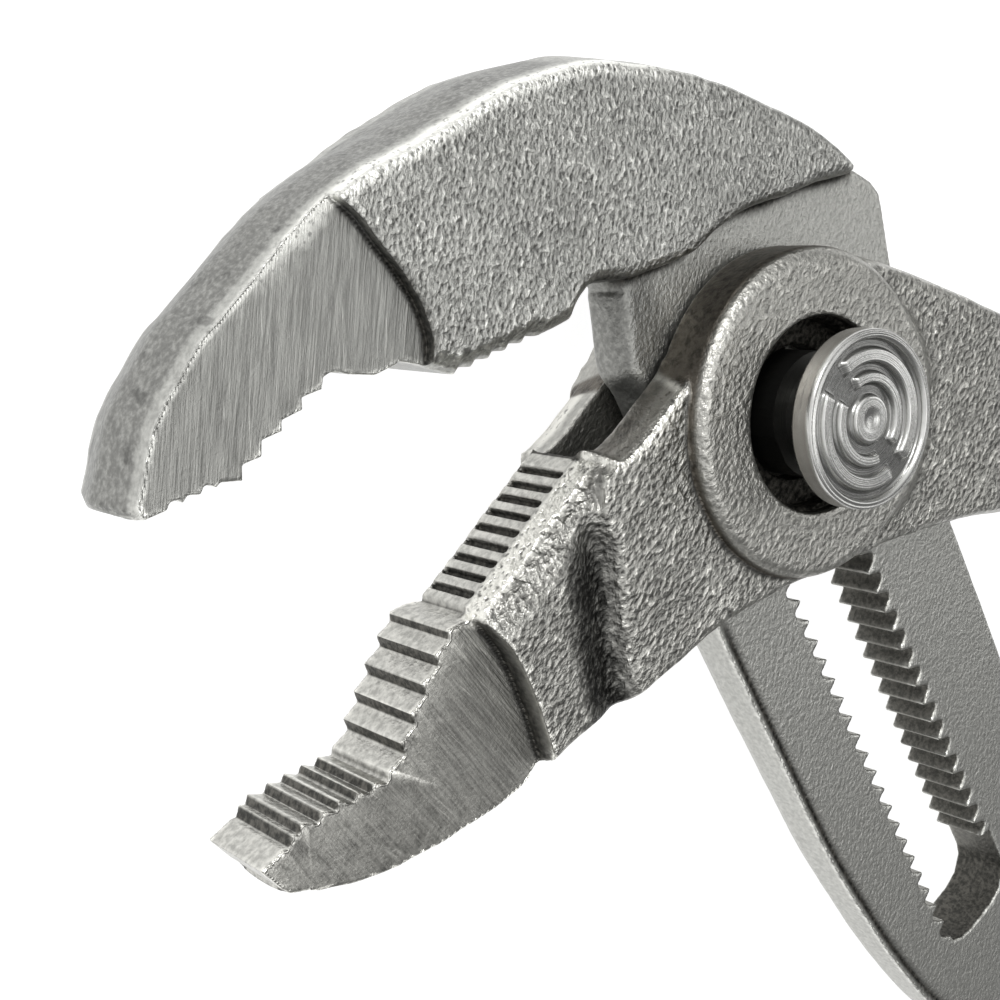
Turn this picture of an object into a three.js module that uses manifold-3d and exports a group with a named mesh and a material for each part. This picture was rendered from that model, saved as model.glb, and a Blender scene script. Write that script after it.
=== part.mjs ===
// Box-joint water pump pliers with a push-button pivot, lying flat on the rear ring boss.
// Millimetres, +Z up. The outlines are drawn about the pivot axis; the finished
// assembly is then moved so that the origin is the middle of its footprint.
import * as THREE from 'three';
import { mergeVertices } from 'three/addons/utils/BufferGeometryUtils.js';
import Module from 'manifold-3d';

// ---------------------------------------------------------------- driving sizes
const RING_R = 12.0;            // ring boss, outer radius at its face
const JOINT_T = 15.0;           // over both ring bosses
const MID = JOINT_T / 2;        // middle plane of both levers
const PLATE_H = 2.6;            // half thickness of the slotted arm
const BOX_H = 2.85;             // half width of the box between the cheeks
const CHEEK_H = 6.2;            // half thickness over the cheeks
const HEAD_H = 5.1;             // half thickness of the forged upper jaw
const UPPER_TIP_H = 4.1;        // half thickness of the ground jaw tips
const LOWER_TIP_H = 3.6;
const JAW_H = 5.9;              // half thickness of the forged lower jaw
const BORE_R = 7.28;            // counterbore round the button
const REAR_BORE_R = 7.2;        // bore for the bolt in the rear cheek
const PITCH = 2.065;            // tooth pitch of the slot
const STEPS = 24;               // tooth pitches from the smallest to the widest setting
const SLOT_DEG = -57.9;         // direction of the slot, jaw end to handle end
const SLOT_TIP = 3.7;           // slot half width over the tooth tips
const SLOT_ROOT = 4.75;         // slot half width over the tooth roots
const SLOT_OFF = -1.15;         // middle of the slot, to the side of the pivot axis
const LEFT_PHASE = 0.6;         // where the tooth roots lie, in pitches
const RIGHT_PHASE = 0.28;
const BOLT_TIP = 4.45;          // bolt teeth
const BOLT_ROOT = 3.4;
const BOLT_HALF = 4.0;          // half length of the toothed block along the slot
const NECK_R = 4.7;             // round of the bolt neck, with two flats
const CAP_R = 6.49;             // button cap
const CAP_TOP = JOINT_T + 4.8;

// ---------------------------------------------------------------- solids
const wasm = await Module();
wasm.setup();
const { Manifold, Mesh } = wasm;

function body(geometry) {
  let g = geometry.clone();
  for (const name of Object.keys(g.attributes)) if (name !== 'position') g.deleteAttribute(name);
  g = mergeVertices(g, 1e-4);
  const tri = [];
  const ix = g.index.array;
  for (let i = 0; i < ix.length; i += 3) {
    const [a, b, c] = [ix[i], ix[i + 1], ix[i + 2]];
    if (a !== b && b !== c && c !== a) tri.push(a, b, c);
  }
  return new Manifold(new Mesh({
    numProp: 3,
    vertProperties: new Float32Array(g.attributes.position.array),
    triVerts: new Uint32Array(tri),
  }));
}

function ccw(pts) {
  let a = 0;
  for (let i = 0; i < pts.length; i++) {
    const [x0, y0] = pts[i], [x1, y1] = pts[(i + 1) % pts.length];
    a += x0 * y1 - x1 * y0;
  }
  return a < 0 ? pts.slice().reverse() : pts;
}

function shape(pts) {
  return new THREE.Shape(ccw(pts).map(([x, y]) => new THREE.Vector2(x, y)));
}

// straight-sided slab between two heights
function slab(pts, z0, z1) {
  const g = new THREE.ExtrudeGeometry(shape(pts), { depth: z1 - z0, bevelEnabled: false });
  g.translate(0, 0, z0);
  return body(g);
}

// slab about a middle plane whose outline draws in by `inset` over the outer `rise` of each side
function drafted(pts, half, inset, rise, segments = 2, mid = MID) {
  const g = new THREE.ExtrudeGeometry(shape(pts), {
    depth: 2 * (half - rise), bevelEnabled: true, bevelThickness: rise,
    bevelSize: inset, bevelOffset: -inset, bevelSegments: segments, curveSegments: 4,
  });
  g.translate(0, 0, mid - half + rise);
  return body(g);
}

function round(r, z0, z1, n = 48, x = 0, y = 0, r1 = r) {
  const g = new THREE.CylinderGeometry(r1, r, z1 - z0, n);
  g.rotateX(Math.PI / 2);
  g.translate(x, y, (z0 + z1) / 2);
  return body(g);
}

// turned body from [radius, height] points, first and last on the axis
function turned(profile, n = 56) {
  const g = new THREE.LatheGeometry(profile.map(([r, z]) => new THREE.Vector2(r, z)), n);
  g.rotateX(Math.PI / 2);
  return body(g);
}

function smooth(pts, per = 4) {
  const c = new THREE.SplineCurve(pts.map(([x, y]) => new THREE.Vector2(x, y)));
  return c.getPoints(per * (pts.length - 1)).map((p) => [p.x, p.y]);
}

// band of varying width along a centre line: [x, y, half width]
function band(line, extra = 0, roundEnd = true) {
  const mid = new THREE.CatmullRomCurve3(line.map(([x, y, w]) => new THREE.Vector3(x, y, w)));
  const n = 4 * (line.length - 1);
  const left = [], right = [];
  let last, dir;
  for (let i = 0; i <= n; i++) {
    const p = mid.getPoint(i / n), t = mid.getTangent(i / n);
    const l = Math.hypot(t.x, t.y), w = p.z + extra;
    dir = [t.x / l, t.y / l];
    last = p;
    left.push([p.x - dir[1] * w, p.y + dir[0] * w]);
    right.push([p.x + dir[1] * w, p.y - dir[0] * w]);
  }
  const tip = [];
  if (roundEnd) {
    const w = last.z + extra;
    for (let k = 1; k < 10; k++) {
      const a = Math.PI / 2 - (k * Math.PI) / 10;
      const c = Math.cos(a) * w * 0.9, s = Math.sin(a) * w;
      tip.push([last.x + dir[0] * c - dir[1] * s, last.y + dir[1] * c + dir[0] * s]);
    }
  }
  return [...left, ...tip, ...right.reverse()];
}

// saw-like row of teeth from a to b; depth is measured to the left of the way from a to b,
// lean 0..1 puts the root along the pitch
function teeth(a, b, count, depth, lean = 0.5) {
  const [dx, dy] = [b[0] - a[0], b[1] - a[1]];
  const l = Math.hypot(dx, dy), nx = -dy / l, ny = dx / l, out = [a];
  for (let i = 0; i < count; i++) {
    const r = (i + lean) / count, e = (i + 1) / count;
    out.push([a[0] + dx * r + nx * depth, a[1] + dy * r + ny * depth]);
    out.push([a[0] + dx * e, a[1] + dy * e]);
  }
  return out;
}

// slot frame: s along the slot, p across it
const SD = (SLOT_DEG * Math.PI) / 180;
const T = [Math.cos(SD), Math.sin(SD)];
const N = [-Math.sin(SD), Math.cos(SD)];
const at = (s, p) => [T[0] * s + N[0] * p, T[1] * s + N[1] * p];

// ---------------------------------------------------------------- upper jaw lever
// spine of the jaw, tip to back end
const spine = smooth([
  [-53.1, -2.7], [-52.5, -0.8], [-52.0, 1.2], [-51.3, 2.7], [-50.3, 4.4], [-49.0, 6.6], [-46.7, 9.2], [-45.5, 10.6],
  [-40.2, 16.0], [-34.1, 19.3], [-28.0, 22.2], [-23.0, 24.0], [-19.5, 24.8], [-15.7, 24.9], [-11.9, 24.7], [-6.0, 23.6],
  [0.3, 21.9], [3.6, 20.5], [6.2, 19.2],
], 3);
// lower edge of the forged head, where it steps down to the thin arm
const crease = smooth([
  [4.2, 16.2], [2.2, 16.1], [0.1, 15.7], [-2.0, 15.2], [-4.1, 14.7], [-6.1, 14.0], [-8.0, 12.9], [-9.9, 11.6], [-12.7, 10.5], [-16.3, 9.7], [-19.0, 9.4],
], 3);
const headBlank = [...spine, [7.0, 17.6], [6.2, 16.3], ...crease, [-20.5, 6.8], [-30, 2.5], [-38, 2.0], [-44, -3.4], [-51.2, -5.6]];
// gripping edge, tip to throat
const upperGrip = [
  [-53.0, -3.4], [-52.2, -3.37],
  [-50.55, -2.9], [-50.3, -2.4], [-49.55, -2.59], [-49.2, -2.12], [-48.41, -2.17], [-48.1, -1.65], [-47.39, -1.85], [-47.1, -1.5],
  [-45.71, -1.57], [-45.6, -0.55], [-44.43, -0.26], [-44.3, 0.8], [-43.06, 1.19], [-42.95, 1.95], [-41.62, 2.41], [-41.55, 3.2], [-40.29, 3.54], [-40.1, 4.3],
  [-39.0, 4.51], [-36.54, 4.23], [-35.07, 4.78], [-33.4, 4.85], [-31.8, 4.6],
  ...teeth([-30.3, 4.35], [-20.95, 7.55], 7, 0.42, 0.3),
];
const throat = [[-20.5, 8.4], [-19.7, 9.2], [-18.5, 9.6], [-17.2, 9.4], [-16.3, 8.7]];
const mouthCut = [...upperGrip, ...throat, [-16.1, 7.6], [-18.7, 5], [-22, -12], [-57, -14], [-57, -6]];

// thin arm: left edge from the throat down, right edge back up
const armLeft = smooth([
  at(-22, -9.2), at(-16.5, -8.4), at(-13, -9.8), at(-10.5, -10.7), at(-8, -10.5), at(-4, -10.9), at(2, -12.0), at(9, -12.7), at(17, -12.9),
  at(26, -12.9), at(36, -12.5), at(44, -11.9), at(52, -10.9), at(59, -9.3), at(66, -7.1), at(72, -5.3), at(77, -4.5),
], 2);
const armRight = smooth([
  at(77, 8.6), at(72, 9.1), at(66, 10.0), at(59, 11.2), at(52, 12.1), at(44, 12.7), at(34, 13.0), at(22, 13.2), at(10, 13.3),
], 2);
const armTop = [[14.0, 4.2], [13.0, 7.2], [13.0, 9.6], [12.85, 11.4], [12.4, 13.2], [11.75, 15.4], [11.2, 16.6], [10.2, 17.45], [8.4, 18.2],
  [4, 18.4], [-6, 16.5], [-14, 14.5]];
const arm = [...armLeft, ...armRight, ...armTop];

// toothed slot: its two rows of tooth roots do not lie opposite each other
function slotSide(sign, phase) {
  const out = [];
  for (let i = -2; i <= STEPS + 1; i++) {
    const s = (i + phase) * PITCH;
    out.push([s - 0.4 * PITCH, sign * SLOT_TIP], [s - 0.14 * PITCH, sign * SLOT_ROOT], [s + 0.14 * PITCH, sign * SLOT_ROOT], [s + 0.4 * PITCH, sign * SLOT_TIP]);
  }
  return out;
}
const SLOT_TOP = -NECK_R - 0.6, SLOT_END = STEPS * PITCH + NECK_R + 0.6;
const slotPts = [
  [SLOT_TOP, SLOT_TIP - 0.5], [SLOT_TOP, -SLOT_TIP + 0.5], ...slotSide(-1, LEFT_PHASE),
  [SLOT_END - 1.0, -SLOT_TIP], [SLOT_END - 0.3, -2.6], [SLOT_END, -1.4], [SLOT_END, 1.4], [SLOT_END - 0.3, 2.6], [SLOT_END - 1.0, SLOT_TIP],
  ...slotSide(1, RIGHT_PHASE).reverse(),
].map(([s, p]) => at(s, p + SLOT_OFF));

// tang of the upper jaw lever: [x, y, half width]
const upperTang = [[...at(74, 2.2), 6.4], [...at(82, 2.6), 6.2], [53.0, -75.8, 5.8], [66.0, -85.4, 5.4], [86.0, -99.0, 5.2], [108.0, -113.6, 5.0], [128.0, -127.4, 4.6], [140.0, -136.4, 4.2]];
const upperTangCut = [at(69, -14), at(72, -6), at(84.5, 9.6), at(84.5, 30), at(40, 40), at(40, -30)];

let upper = drafted(headBlank, HEAD_H, 0.95, 2.6, 2);
// ground tip, both faces, bounded by an arc
const tipArc = smooth([[-40.6, 17.2], [-39.4, 15.2], [-37.8, 13.5], [-36.6, 12.2], [-35.4, 10.9], [-34.4, 9.7], [-33.6, 8.4], [-33.0, 6.8], [-32.85, 4.0], [-33.0, 0.0]], 2);
const tipZone = [...tipArc, [-34, -12], [-58, -12], [-58, 20], [-42, 20]];
upper = upper.subtract(slab(tipZone, MID + UPPER_TIP_H, MID + 9)).subtract(slab(tipZone, MID - 9, MID - UPPER_TIP_H));
upper = upper.subtract(slab(mouthCut, -1, JOINT_T + 1));
const armPlate = drafted(arm, PLATE_H, 0.35, 0.6, 1).subtract(slab(slotPts, -1, JOINT_T + 1));
upper = upper.add(armPlate).add(drafted(band(upperTang), PLATE_H, 0.35, 0.6, 1));
const tangU = drafted(band(upperTang), 3.9, 0.7, 1.2, 1).subtract(slab(upperTangCut, -5, 25));
upper = upper.add(tangU);

// ---------------------------------------------------------------- lower jaw lever
const lowerGrip = [
  [-19.3, -2.35],
  ...teeth([-20.34, -3.14], [-28.77, -11.48], 9, 0.72, 0.4),
  [-28.9, -12.05], [-30.6, -12.9],
  ...teeth([-30.6, -12.9], [-35.45, -21.35], 5, 0.75, 0.32).slice(1),
  [-35.6, -21.95],
  ...teeth([-36.65, -21.85], [-42.0, -23.35], 4, 0.53, 0.26),
  [-42.1, -24.0], [-42.55, -23.95], [-42.8, -24.7], [-43.25, -24.85],
];
const jawBottom = smooth([
  [-43.2, -27.5], [-41.5, -27.85], [-39.0, -28.05], [-36.0, -27.85], [-33.0, -27.3], [-30.0, -26.5], [-27.0, -25.5], [-24.5, -24.5],
  [-23.4, -23.7], [-21.3, -22.0], [-19.4, -21.1], [-17.5, -20.3],
], 2);
const cheekBottom = smooth([
  [-17.5, -20.3], [-15.4, -19.7], [-13.5, -18.7], [-11.6, -17.7], [-9.6, -16.7], [-7.6, -15.7], [-5.6, -15.0], [-2.5, -14.2], [2.0, -13.3], [7.0, -12.3], [12.0, -11.3], [18.0, -10.7], [26.0, -10.4], [36.0, -9.8], [48.0, -8.8], [59.4, -8.0],
], 2);
const handleTop = smooth([
  [59.4, 4.2], [48.0, 4.5], [36.0, 5.4], [28.0, 6.6], [20.0, 8.8], [14.0, 10.5], [9.0, 11.6], [6.0, 12.1],
], 2);
const ringTop = [];
for (let a = 70; a <= 157; a += 7.25) ringTop.push([12.3 * Math.cos((a * Math.PI) / 180), 12.3 * Math.sin((a * Math.PI) / 180)]);
const cheekTop = [[-12.3, 3.5], [-13.2, 2.5], [-14.4, 1.35], [-15.6, 0.2], [-16.8, -0.8], [-18.4, -1.6]];
// blank without teeth for the drafted body, the gripping edge is cut afterwards
const outerBlank = [...cheekTop, [-21.5, -1.7], [-33.5, -10.5], [-37.5, -19.0], [-45.6, -22.5], [-46.6, -26.2], [-44.4, -28.0],
  ...jawBottom.slice(2), ...cheekBottom.slice(1), ...handleTop, ...ringTop];
const gripCut = [[-18.9, 0.6], ...lowerGrip, [-44.75, -25.95], [-44.2, -26.9], [-43.2, -27.55], [-44, -30], [-60, -30], [-60, 12], [-19, 12]];

let lower = drafted(outerBlank, CHEEK_H, 0.9, 2.8, 2);
// the handle thins towards the grip
for (const side of [1, -1]) {
  const g = new THREE.ExtrudeGeometry(shape([[34, MID + side * 6.5], [60, MID + side * 4.1], [60, MID + side * 9], [34, MID + side * 9]]), { depth: 40, bevelEnabled: false });
  g.rotateX(Math.PI / 2);
  g.translate(0, 20, 0);
  lower = lower.subtract(body(g));
}
// the forged jaw lies a little below the cheeks, with a slanted groove between them
const jawZone = [[-21.2, 4], [-21.0, -5], [-20.2, -10], [-19.5, -15], [-17.6, -24], [-17.6, -34], [-60, -34], [-60, 4]];
lower = lower.subtract(slab(jawZone, MID + JAW_H, MID + 9)).subtract(slab(jawZone, MID - 9, MID - JAW_H));
const grooveOutline = [[-22.2, -4.5], [-21.2, -10.0], [-20.4, -15.0], [-18.0, -26.0], [-15.2, -25.4], [-17.4, -15.2], [-18.0, -10.4], [-18.8, -5.5]];
const groove = (side) => drafted(grooveOutline, 3.0, 1.1, 2.9, 1, MID + side * 7.9);
lower = lower.subtract(groove(1)).subtract(groove(-1));
// ground tip
const lowArc = smooth([[-36, -4], [-32.6, -8.2], [-30.6, -10.3], [-29.3, -11.75], [-28.26, -12.85], [-27.0, -14.4], [-25.95, -16.2], [-25.1, -17.9], [-24.4, -19.6], [-23.8, -21.4], [-23.3, -22.9], [-22.9, -26.0], [-23.2, -31]], 2);
const lowTipZone = [...lowArc, [-60, -32], [-60, -4]];
lower = lower.subtract(slab(lowTipZone, MID + LOWER_TIP_H, MID + 9)).subtract(slab(lowTipZone, MID - 9, MID - LOWER_TIP_H));
// slanted facets beside the rear teeth, both sides
const along = new THREE.Vector3(-0.7109, -0.7033, 0), inward = new THREE.Vector3(0.7033, -0.7109, 0);
for (const side of [1, -1]) {
  // local x: into the jaw, local y: up, local z: along the gripping edge
  const facet = [[-3.2, 2.6], [-0.2, 2.6], [1.9, 6.6], [1.9, 9.6], [-3.2, 9.6]].map(([x, z]) => [x, MID + side * z]);
  const g = new THREE.ExtrudeGeometry(shape(facet), { depth: 12.4, bevelEnabled: false });
  g.applyMatrix4(new THREE.Matrix4().makeBasis(inward, new THREE.Vector3(0, 0, 1), along));
  g.translate(-20.34 + 0.4 * 0.7109, -3.14 + 0.4 * 0.7033, 0);
  lower = lower.subtract(body(g));
}
lower = lower.subtract(slab(gripCut, -1, JOINT_T + 1));

// ring bosses
for (const side of [1, -1]) {
  const p = [[0, BOX_H - 0.4], [RING_R + 0.3, BOX_H - 0.4], [RING_R + 0.3, MID - 0.75], [RING_R - 0.4, MID], [0, MID]];
  const g = turned(side > 0 ? p.map(([r, z]) => [r, MID + z]) : p.map(([r, z]) => [r, MID - z]).reverse());
  lower = lower.add(g);
}
// box through which the arm passes: open between the jaw bridge and the handle bridge
const box = [
  [-30, 14], [-19.9, 0.6], [-19.85, -2.5], [-18.65, -4.05], [-16.0, -6.2], [-13.3, -8.4], [-12.7, -10.4], [-11.6, -16.5], [-11.2, -22], [9, -28], [62, -28],
  [41.6, -10.0], [26.2, 0.0], [17.0, 5.9], [17.4, 8.5], [17.4, 11.0], [16.5, 15], [0, 18],
];
lower = lower.subtract(slab(box, MID - BOX_H, MID + BOX_H));
// bores: counterbore and neck bore in front, spring bore with a ring groove behind
lower = lower.subtract(round(BORE_R, 12.3, 20, 64)).subtract(round(NECK_R + 0.3, MID, 13, 64));
lower = lower.subtract(round(REAR_BORE_R, -1, MID, 64)).subtract(round(7.8, 0.25, 0.95, 64));
// tang
const lowerTang = [[36.0, -2.2, 6.4], [46.0, -2.2, 6.0], [60.0, -1.8, 5.6], [84.0, -0.6, 5.2], [110.0, -0.6, 5.2], [140.0, -2.4, 5.0], [166.0, -5.4, 4.6], [184.0, -8.2, 4.2]];
const tangL = drafted(band(lowerTang), 3.9, 0.7, 1.2, 1).subtract(slab(box, MID - 8, MID + 8));
lower = lower.add(tangL);

// ---------------------------------------------------------------- bolt, cap, spring and closure
const boltTeeth = [];
for (const [sign, phase] of [[-1, LEFT_PHASE], [1, RIGHT_PHASE]]) {
  const row = [[-BOLT_HALF, sign * BOLT_ROOT]];
  for (let i = -1; i <= 1; i++) {
    const s = (i + phase) * PITCH;
    row.push([s - 0.29 * PITCH, sign * BOLT_ROOT], [s - 0.07 * PITCH, sign * BOLT_TIP], [s + 0.07 * PITCH, sign * BOLT_TIP], [s + 0.29 * PITCH, sign * BOLT_ROOT]);
  }
  row.push([BOLT_HALF, sign * BOLT_ROOT]);
  boltTeeth.push(...(sign < 0 ? row : row.reverse()));
}
let bolt = slab(boltTeeth.map(([s, p]) => at(s, p + SLOT_OFF)), 6.1, 9.1);
const flats = [[-NECK_R - 1, -BOLT_ROOT], [NECK_R + 1, -BOLT_ROOT], [NECK_R + 1, BOLT_ROOT], [-NECK_R - 1, BOLT_ROOT]].map(([s, p]) => at(s, p + SLOT_OFF));
bolt = bolt.add(round(NECK_R, 9.0, 14.6, 48).intersect(slab(flats, 5, 16)));
bolt = bolt.add(round(3.4, 14.5, 17.7, 40)).add(round(2.0, 17.6, 18.8, 32));
bolt = bolt.subtract(round(1.8, 5, 14.2, 32));

// button: rim, two raised rings and a boss with a dimple
const cap = turned([
  [0, 19.0], [2.3, 19.0], [2.3, 17.9], [6.2, 17.9], [CAP_R, 18.2], [CAP_R, CAP_TOP - 0.3], [6.25, CAP_TOP], [5.95, CAP_TOP], [5.75, CAP_TOP - 0.5],
  [5.2, CAP_TOP - 0.5], [5.05, CAP_TOP - 0.1], [4.15, CAP_TOP - 0.1], [4.0, CAP_TOP - 0.5], [3.5, CAP_TOP - 0.5], [3.35, CAP_TOP - 0.1], [2.7, CAP_TOP - 0.1],
  [2.55, CAP_TOP - 0.5], [1.85, CAP_TOP - 0.5], [1.7, CAP_TOP - 0.1], [0.7, CAP_TOP - 0.1], [0, CAP_TOP - 0.3],
]);

class Helix extends THREE.Curve {
  constructor(r, z0, z1, turns) { super(); Object.assign(this, { r, z0, z1, turns }); }
  getPoint(t, out = new THREE.Vector3()) {
    const a = 2 * Math.PI * this.turns * t;
    return out.set(this.r * Math.cos(a), this.r * Math.sin(a), this.z0 + (this.z1 - this.z0) * t);
  }
}
const WIRE = 0.2;
const wire = new THREE.Shape();
for (let k = 0; k < 6; k++) {
  const a = (k * Math.PI) / 3;
  if (k) wire.lineTo(WIRE * Math.cos(a), WIRE * Math.sin(a)); else wire.moveTo(WIRE, 0);
}
const spring = body(new THREE.ExtrudeGeometry(wire, { steps: 100, bevelEnabled: false, extrudePath: new Helix(1.4, 1.85, 13.75, 8) }));

const rearCap = turned([[0, 0.3], [5.9, 0.3], [5.9, 1.0], [6.95, 1.0], [6.95, 1.5], [1.0, 1.5], [1.0, 8.3], [0.8, 8.6], [0, 8.6]]);
const ringSector = [];
for (let a = 20; a <= 340; a += 10) ringSector.push([7.6 * Math.cos((a * Math.PI) / 180), 7.6 * Math.sin((a * Math.PI) / 180)]);
for (let a = 340; a >= 20; a -= 10) ringSector.push([6.25 * Math.cos((a * Math.PI) / 180), 6.25 * Math.sin((a * Math.PI) / 180)]);
const retainer = slab(ringSector, 0.38, 0.86);

// ---------------------------------------------------------------- grips
// skin through rings of points, closed by a fan at each end
function loft(rings) {
  const n = rings[0].length, pos = rings.flat(2), tri = [];
  for (let i = 0; i + 1 < rings.length; i++) {
    for (let k = 0; k < n; k++) {
      const a = i * n + k, b = i * n + ((k + 1) % n);
      tri.push(a, b, b + n, a, b + n, a + n);
    }
  }
  for (const [i, flip] of [[0, true], [rings.length - 1, false]]) {
    const c = pos.length / 3;
    pos.push(...[0, 1, 2].map((q) => rings[i].reduce((t, p) => t + p[q], 0) / n));
    for (let k = 0; k < n; k++) {
      const a = i * n + k, b = i * n + ((k + 1) % n);
      tri.push(...(flip ? [b, a, c] : [a, b, c]));
    }
  }
  const g = new THREE.BufferGeometry();
  g.setAttribute('position', new THREE.Float32BufferAttribute(pos, 3));
  g.setIndex(tri);
  return body(g);
}

// sleeve over a tang: [fraction of its length, half width, half thickness]
const GRIP_FORM = [[0, 7.4, 6.0], [0.008, 8.3, 7.0], [0.03, 9.1, 7.5], [0.06, 9.2, 7.5], [0.1, 8.5, 7.2], [0.2, 8.2, 7.1], [0.35, 8.7, 7.3], [0.5, 8.9, 7.4],
  [0.65, 8.6, 7.3], [0.8, 8.3, 7.3], [0.9, 8.7, 7.5], [0.95, 8.8, 7.5], [0.975, 8.2, 7.1], [0.99, 6.8, 6.1], [0.998, 4.6, 4.4]];
function grip(line, from) {
  const path = line.slice(from), n = path.length - 1;
  const [lx, ly] = path[n], [kx, ky] = path[n - 1];
  const l = Math.hypot(lx - kx, ly - ky);
  path.push([lx + ((lx - kx) / l) * 7.5, ly + ((ly - ky) / l) * 7.5, 0]);
  const mid = new THREE.CatmullRomCurve3(path.map(([x, y]) => new THREE.Vector3(x, y, MID)));
  const rings = GRIP_FORM.map(([u, w, h]) => {
    const c = mid.getPointAt(u), t = mid.getTangentAt(u), ring = [];
    for (let k = 0; k < 28; k++) {
      const a = (2 * Math.PI * k) / 28, ca = Math.cos(a), sa = Math.sin(a);
      const x = Math.sign(ca) * Math.abs(ca) ** 0.75 * w, z = Math.sign(sa) * Math.abs(sa) ** 0.75 * h;
      ring.push([c.x + t.y * x, c.y - t.x * x, c.z + z]);
    }
    return ring;
  });
  let skin = loft(rings);
  if (skin.volume() < 0) skin = loft(rings.map((r) => r.slice().reverse()));
  return skin.subtract(drafted(band(line, 0.3), 4.2, 0.6, 1.2, 1));
}
const lowerGripBody = grip(lowerTang, 2);
const upperGripBody = grip(upperTang, 2);

// ---------------------------------------------------------------- assembly
const STEEL = { color: 0x8b8b87, metalness: 1.0 };
const finishes = {
  forged: new THREE.MeshStandardMaterial({ ...STEEL, roughness: 0.55, name: 'forged_steel' }),
  bright: new THREE.MeshStandardMaterial({ color: 0xb4b4b0, metalness: 1.0, roughness: 0.32, name: 'bright_steel' }),
  spring: new THREE.MeshStandardMaterial({ color: 0x9a9a98, metalness: 1.0, roughness: 0.4, name: 'spring_steel' }),
  grip: new THREE.MeshStandardMaterial({ color: 0x3a3d40, metalness: 0.0, roughness: 0.6, name: 'grip_vinyl' }),
};
function mesh(name, solid, finish) {
  const m = solid.getMesh();
  const g = new THREE.BufferGeometry();
  const pos = new Float32Array(m.numVert * 3);
  for (let i = 0; i < m.numVert; i++) for (let k = 0; k < 3; k++) pos[3 * i + k] = m.vertProperties[i * m.numProp + k];
  g.setAttribute('position', new THREE.BufferAttribute(pos, 3));
  g.setIndex(new THREE.BufferAttribute(new Uint32Array(m.triVerts), 1));
  g.computeVertexNormals();
  const out = new THREE.Mesh(g, finish);
  out.name = name;
  return out;
}
const group = new THREE.Group();
group.name = 'water_pump_pliers';
group.add(
  mesh('lower_jaw_lever', lower, finishes.forged),
  mesh('upper_jaw_lever', upper, finishes.forged),
  mesh('pivot_bolt', bolt, finishes.bright),
  mesh('push_button_cap', cap, finishes.bright),
  mesh('return_spring', spring, finishes.spring),
  mesh('rear_cap', rearCap, finishes.bright),
  mesh('retaining_ring', retainer, finishes.spring),
  mesh('lower_grip', lowerGripBody, finishes.grip),
  mesh('upper_grip', upperGripBody, finishes.grip),
);
// origin: middle of the footprint, on the surface it lies on
const hull = new THREE.Box3().setFromObject(group);
const mx = (hull.min.x + hull.max.x) / 2, my = (hull.min.y + hull.max.y) / 2;
for (const m of group.children) m.geometry.translate(-mx, -my, -hull.min.z);

export default group;
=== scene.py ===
"""Looks of the box-joint water pump pliers: forged levers, turned button, sleeved handles."""
import math

import bpy
import numpy as np
from mathutils import Matrix, Vector


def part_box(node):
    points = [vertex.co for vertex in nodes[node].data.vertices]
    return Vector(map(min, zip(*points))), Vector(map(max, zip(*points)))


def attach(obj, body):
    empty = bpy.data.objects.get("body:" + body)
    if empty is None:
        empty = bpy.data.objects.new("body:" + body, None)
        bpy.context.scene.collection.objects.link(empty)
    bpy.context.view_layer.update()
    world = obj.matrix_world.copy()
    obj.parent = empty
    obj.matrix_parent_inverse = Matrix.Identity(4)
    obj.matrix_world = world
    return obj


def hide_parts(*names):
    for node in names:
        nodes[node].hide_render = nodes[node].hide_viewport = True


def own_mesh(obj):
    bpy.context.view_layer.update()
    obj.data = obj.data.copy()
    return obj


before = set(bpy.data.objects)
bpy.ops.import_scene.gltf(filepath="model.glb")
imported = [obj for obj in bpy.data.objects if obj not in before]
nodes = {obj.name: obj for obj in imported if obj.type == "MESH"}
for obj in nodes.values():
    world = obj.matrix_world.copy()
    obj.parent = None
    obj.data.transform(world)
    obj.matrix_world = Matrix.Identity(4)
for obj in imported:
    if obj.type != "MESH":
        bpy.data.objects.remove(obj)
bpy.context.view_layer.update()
scene = bpy.context.scene

# pivot axis: the middle of the button cap; the outlines below are in millimetres about it
lo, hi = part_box("push_button_cap")
PX, PY = (lo.x + hi.x) * 500.0, (lo.y + hi.y) * 500.0
MID = 7.5
COARSE = 1.0

# ------------------------------------------------------------------ numbers
f32 = np.float32


def catmull(pts, per=4):
    p = np.asarray(pts, float)
    out = []
    for i in range(len(p) - 1):
        p0, p1, p2, p3 = p[max(i - 1, 0)], p[i], p[i + 1], p[min(i + 2, len(p) - 1)]
        for k in range(per):
            t = k / per
            out.append(0.5 * (2 * p1 + (p2 - p0) * t + (2 * p0 - 5 * p1 + 4 * p2 - p3) * t * t + (3 * p1 - p0 - 3 * p2 + p3) * t ** 3))
    out.append(p[-1])
    return [tuple(q) for q in out]


def sdpoly(poly, X, Y):
    """Signed distance to a closed polygon, negative inside."""
    P = np.asarray(poly, f32)
    d2 = np.full(X.shape, 1e9, f32)
    inside = np.zeros(X.shape, bool)
    n = len(P)
    for i in range(n):
        ax, ay = P[i]
        bx, by = P[(i + 1) % n]
        ex, ey = bx - ax, by - ay
        l2 = ex * ex + ey * ey
        if l2 < 1e-10:
            continue
        wx, wy = X - ax, Y - ay
        t = np.clip((wx * ex + wy * ey) / l2, 0, 1)
        wx -= ex * t
        wy -= ey * t
        np.minimum(d2, wx * wx + wy * wy, out=d2)
        if ay != by:
            inside ^= ((ay > Y) != (by > Y)) & (X < ex * (Y - ay) / ey + ax)
    d = np.sqrt(d2)
    return np.where(inside, -d, d)


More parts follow.
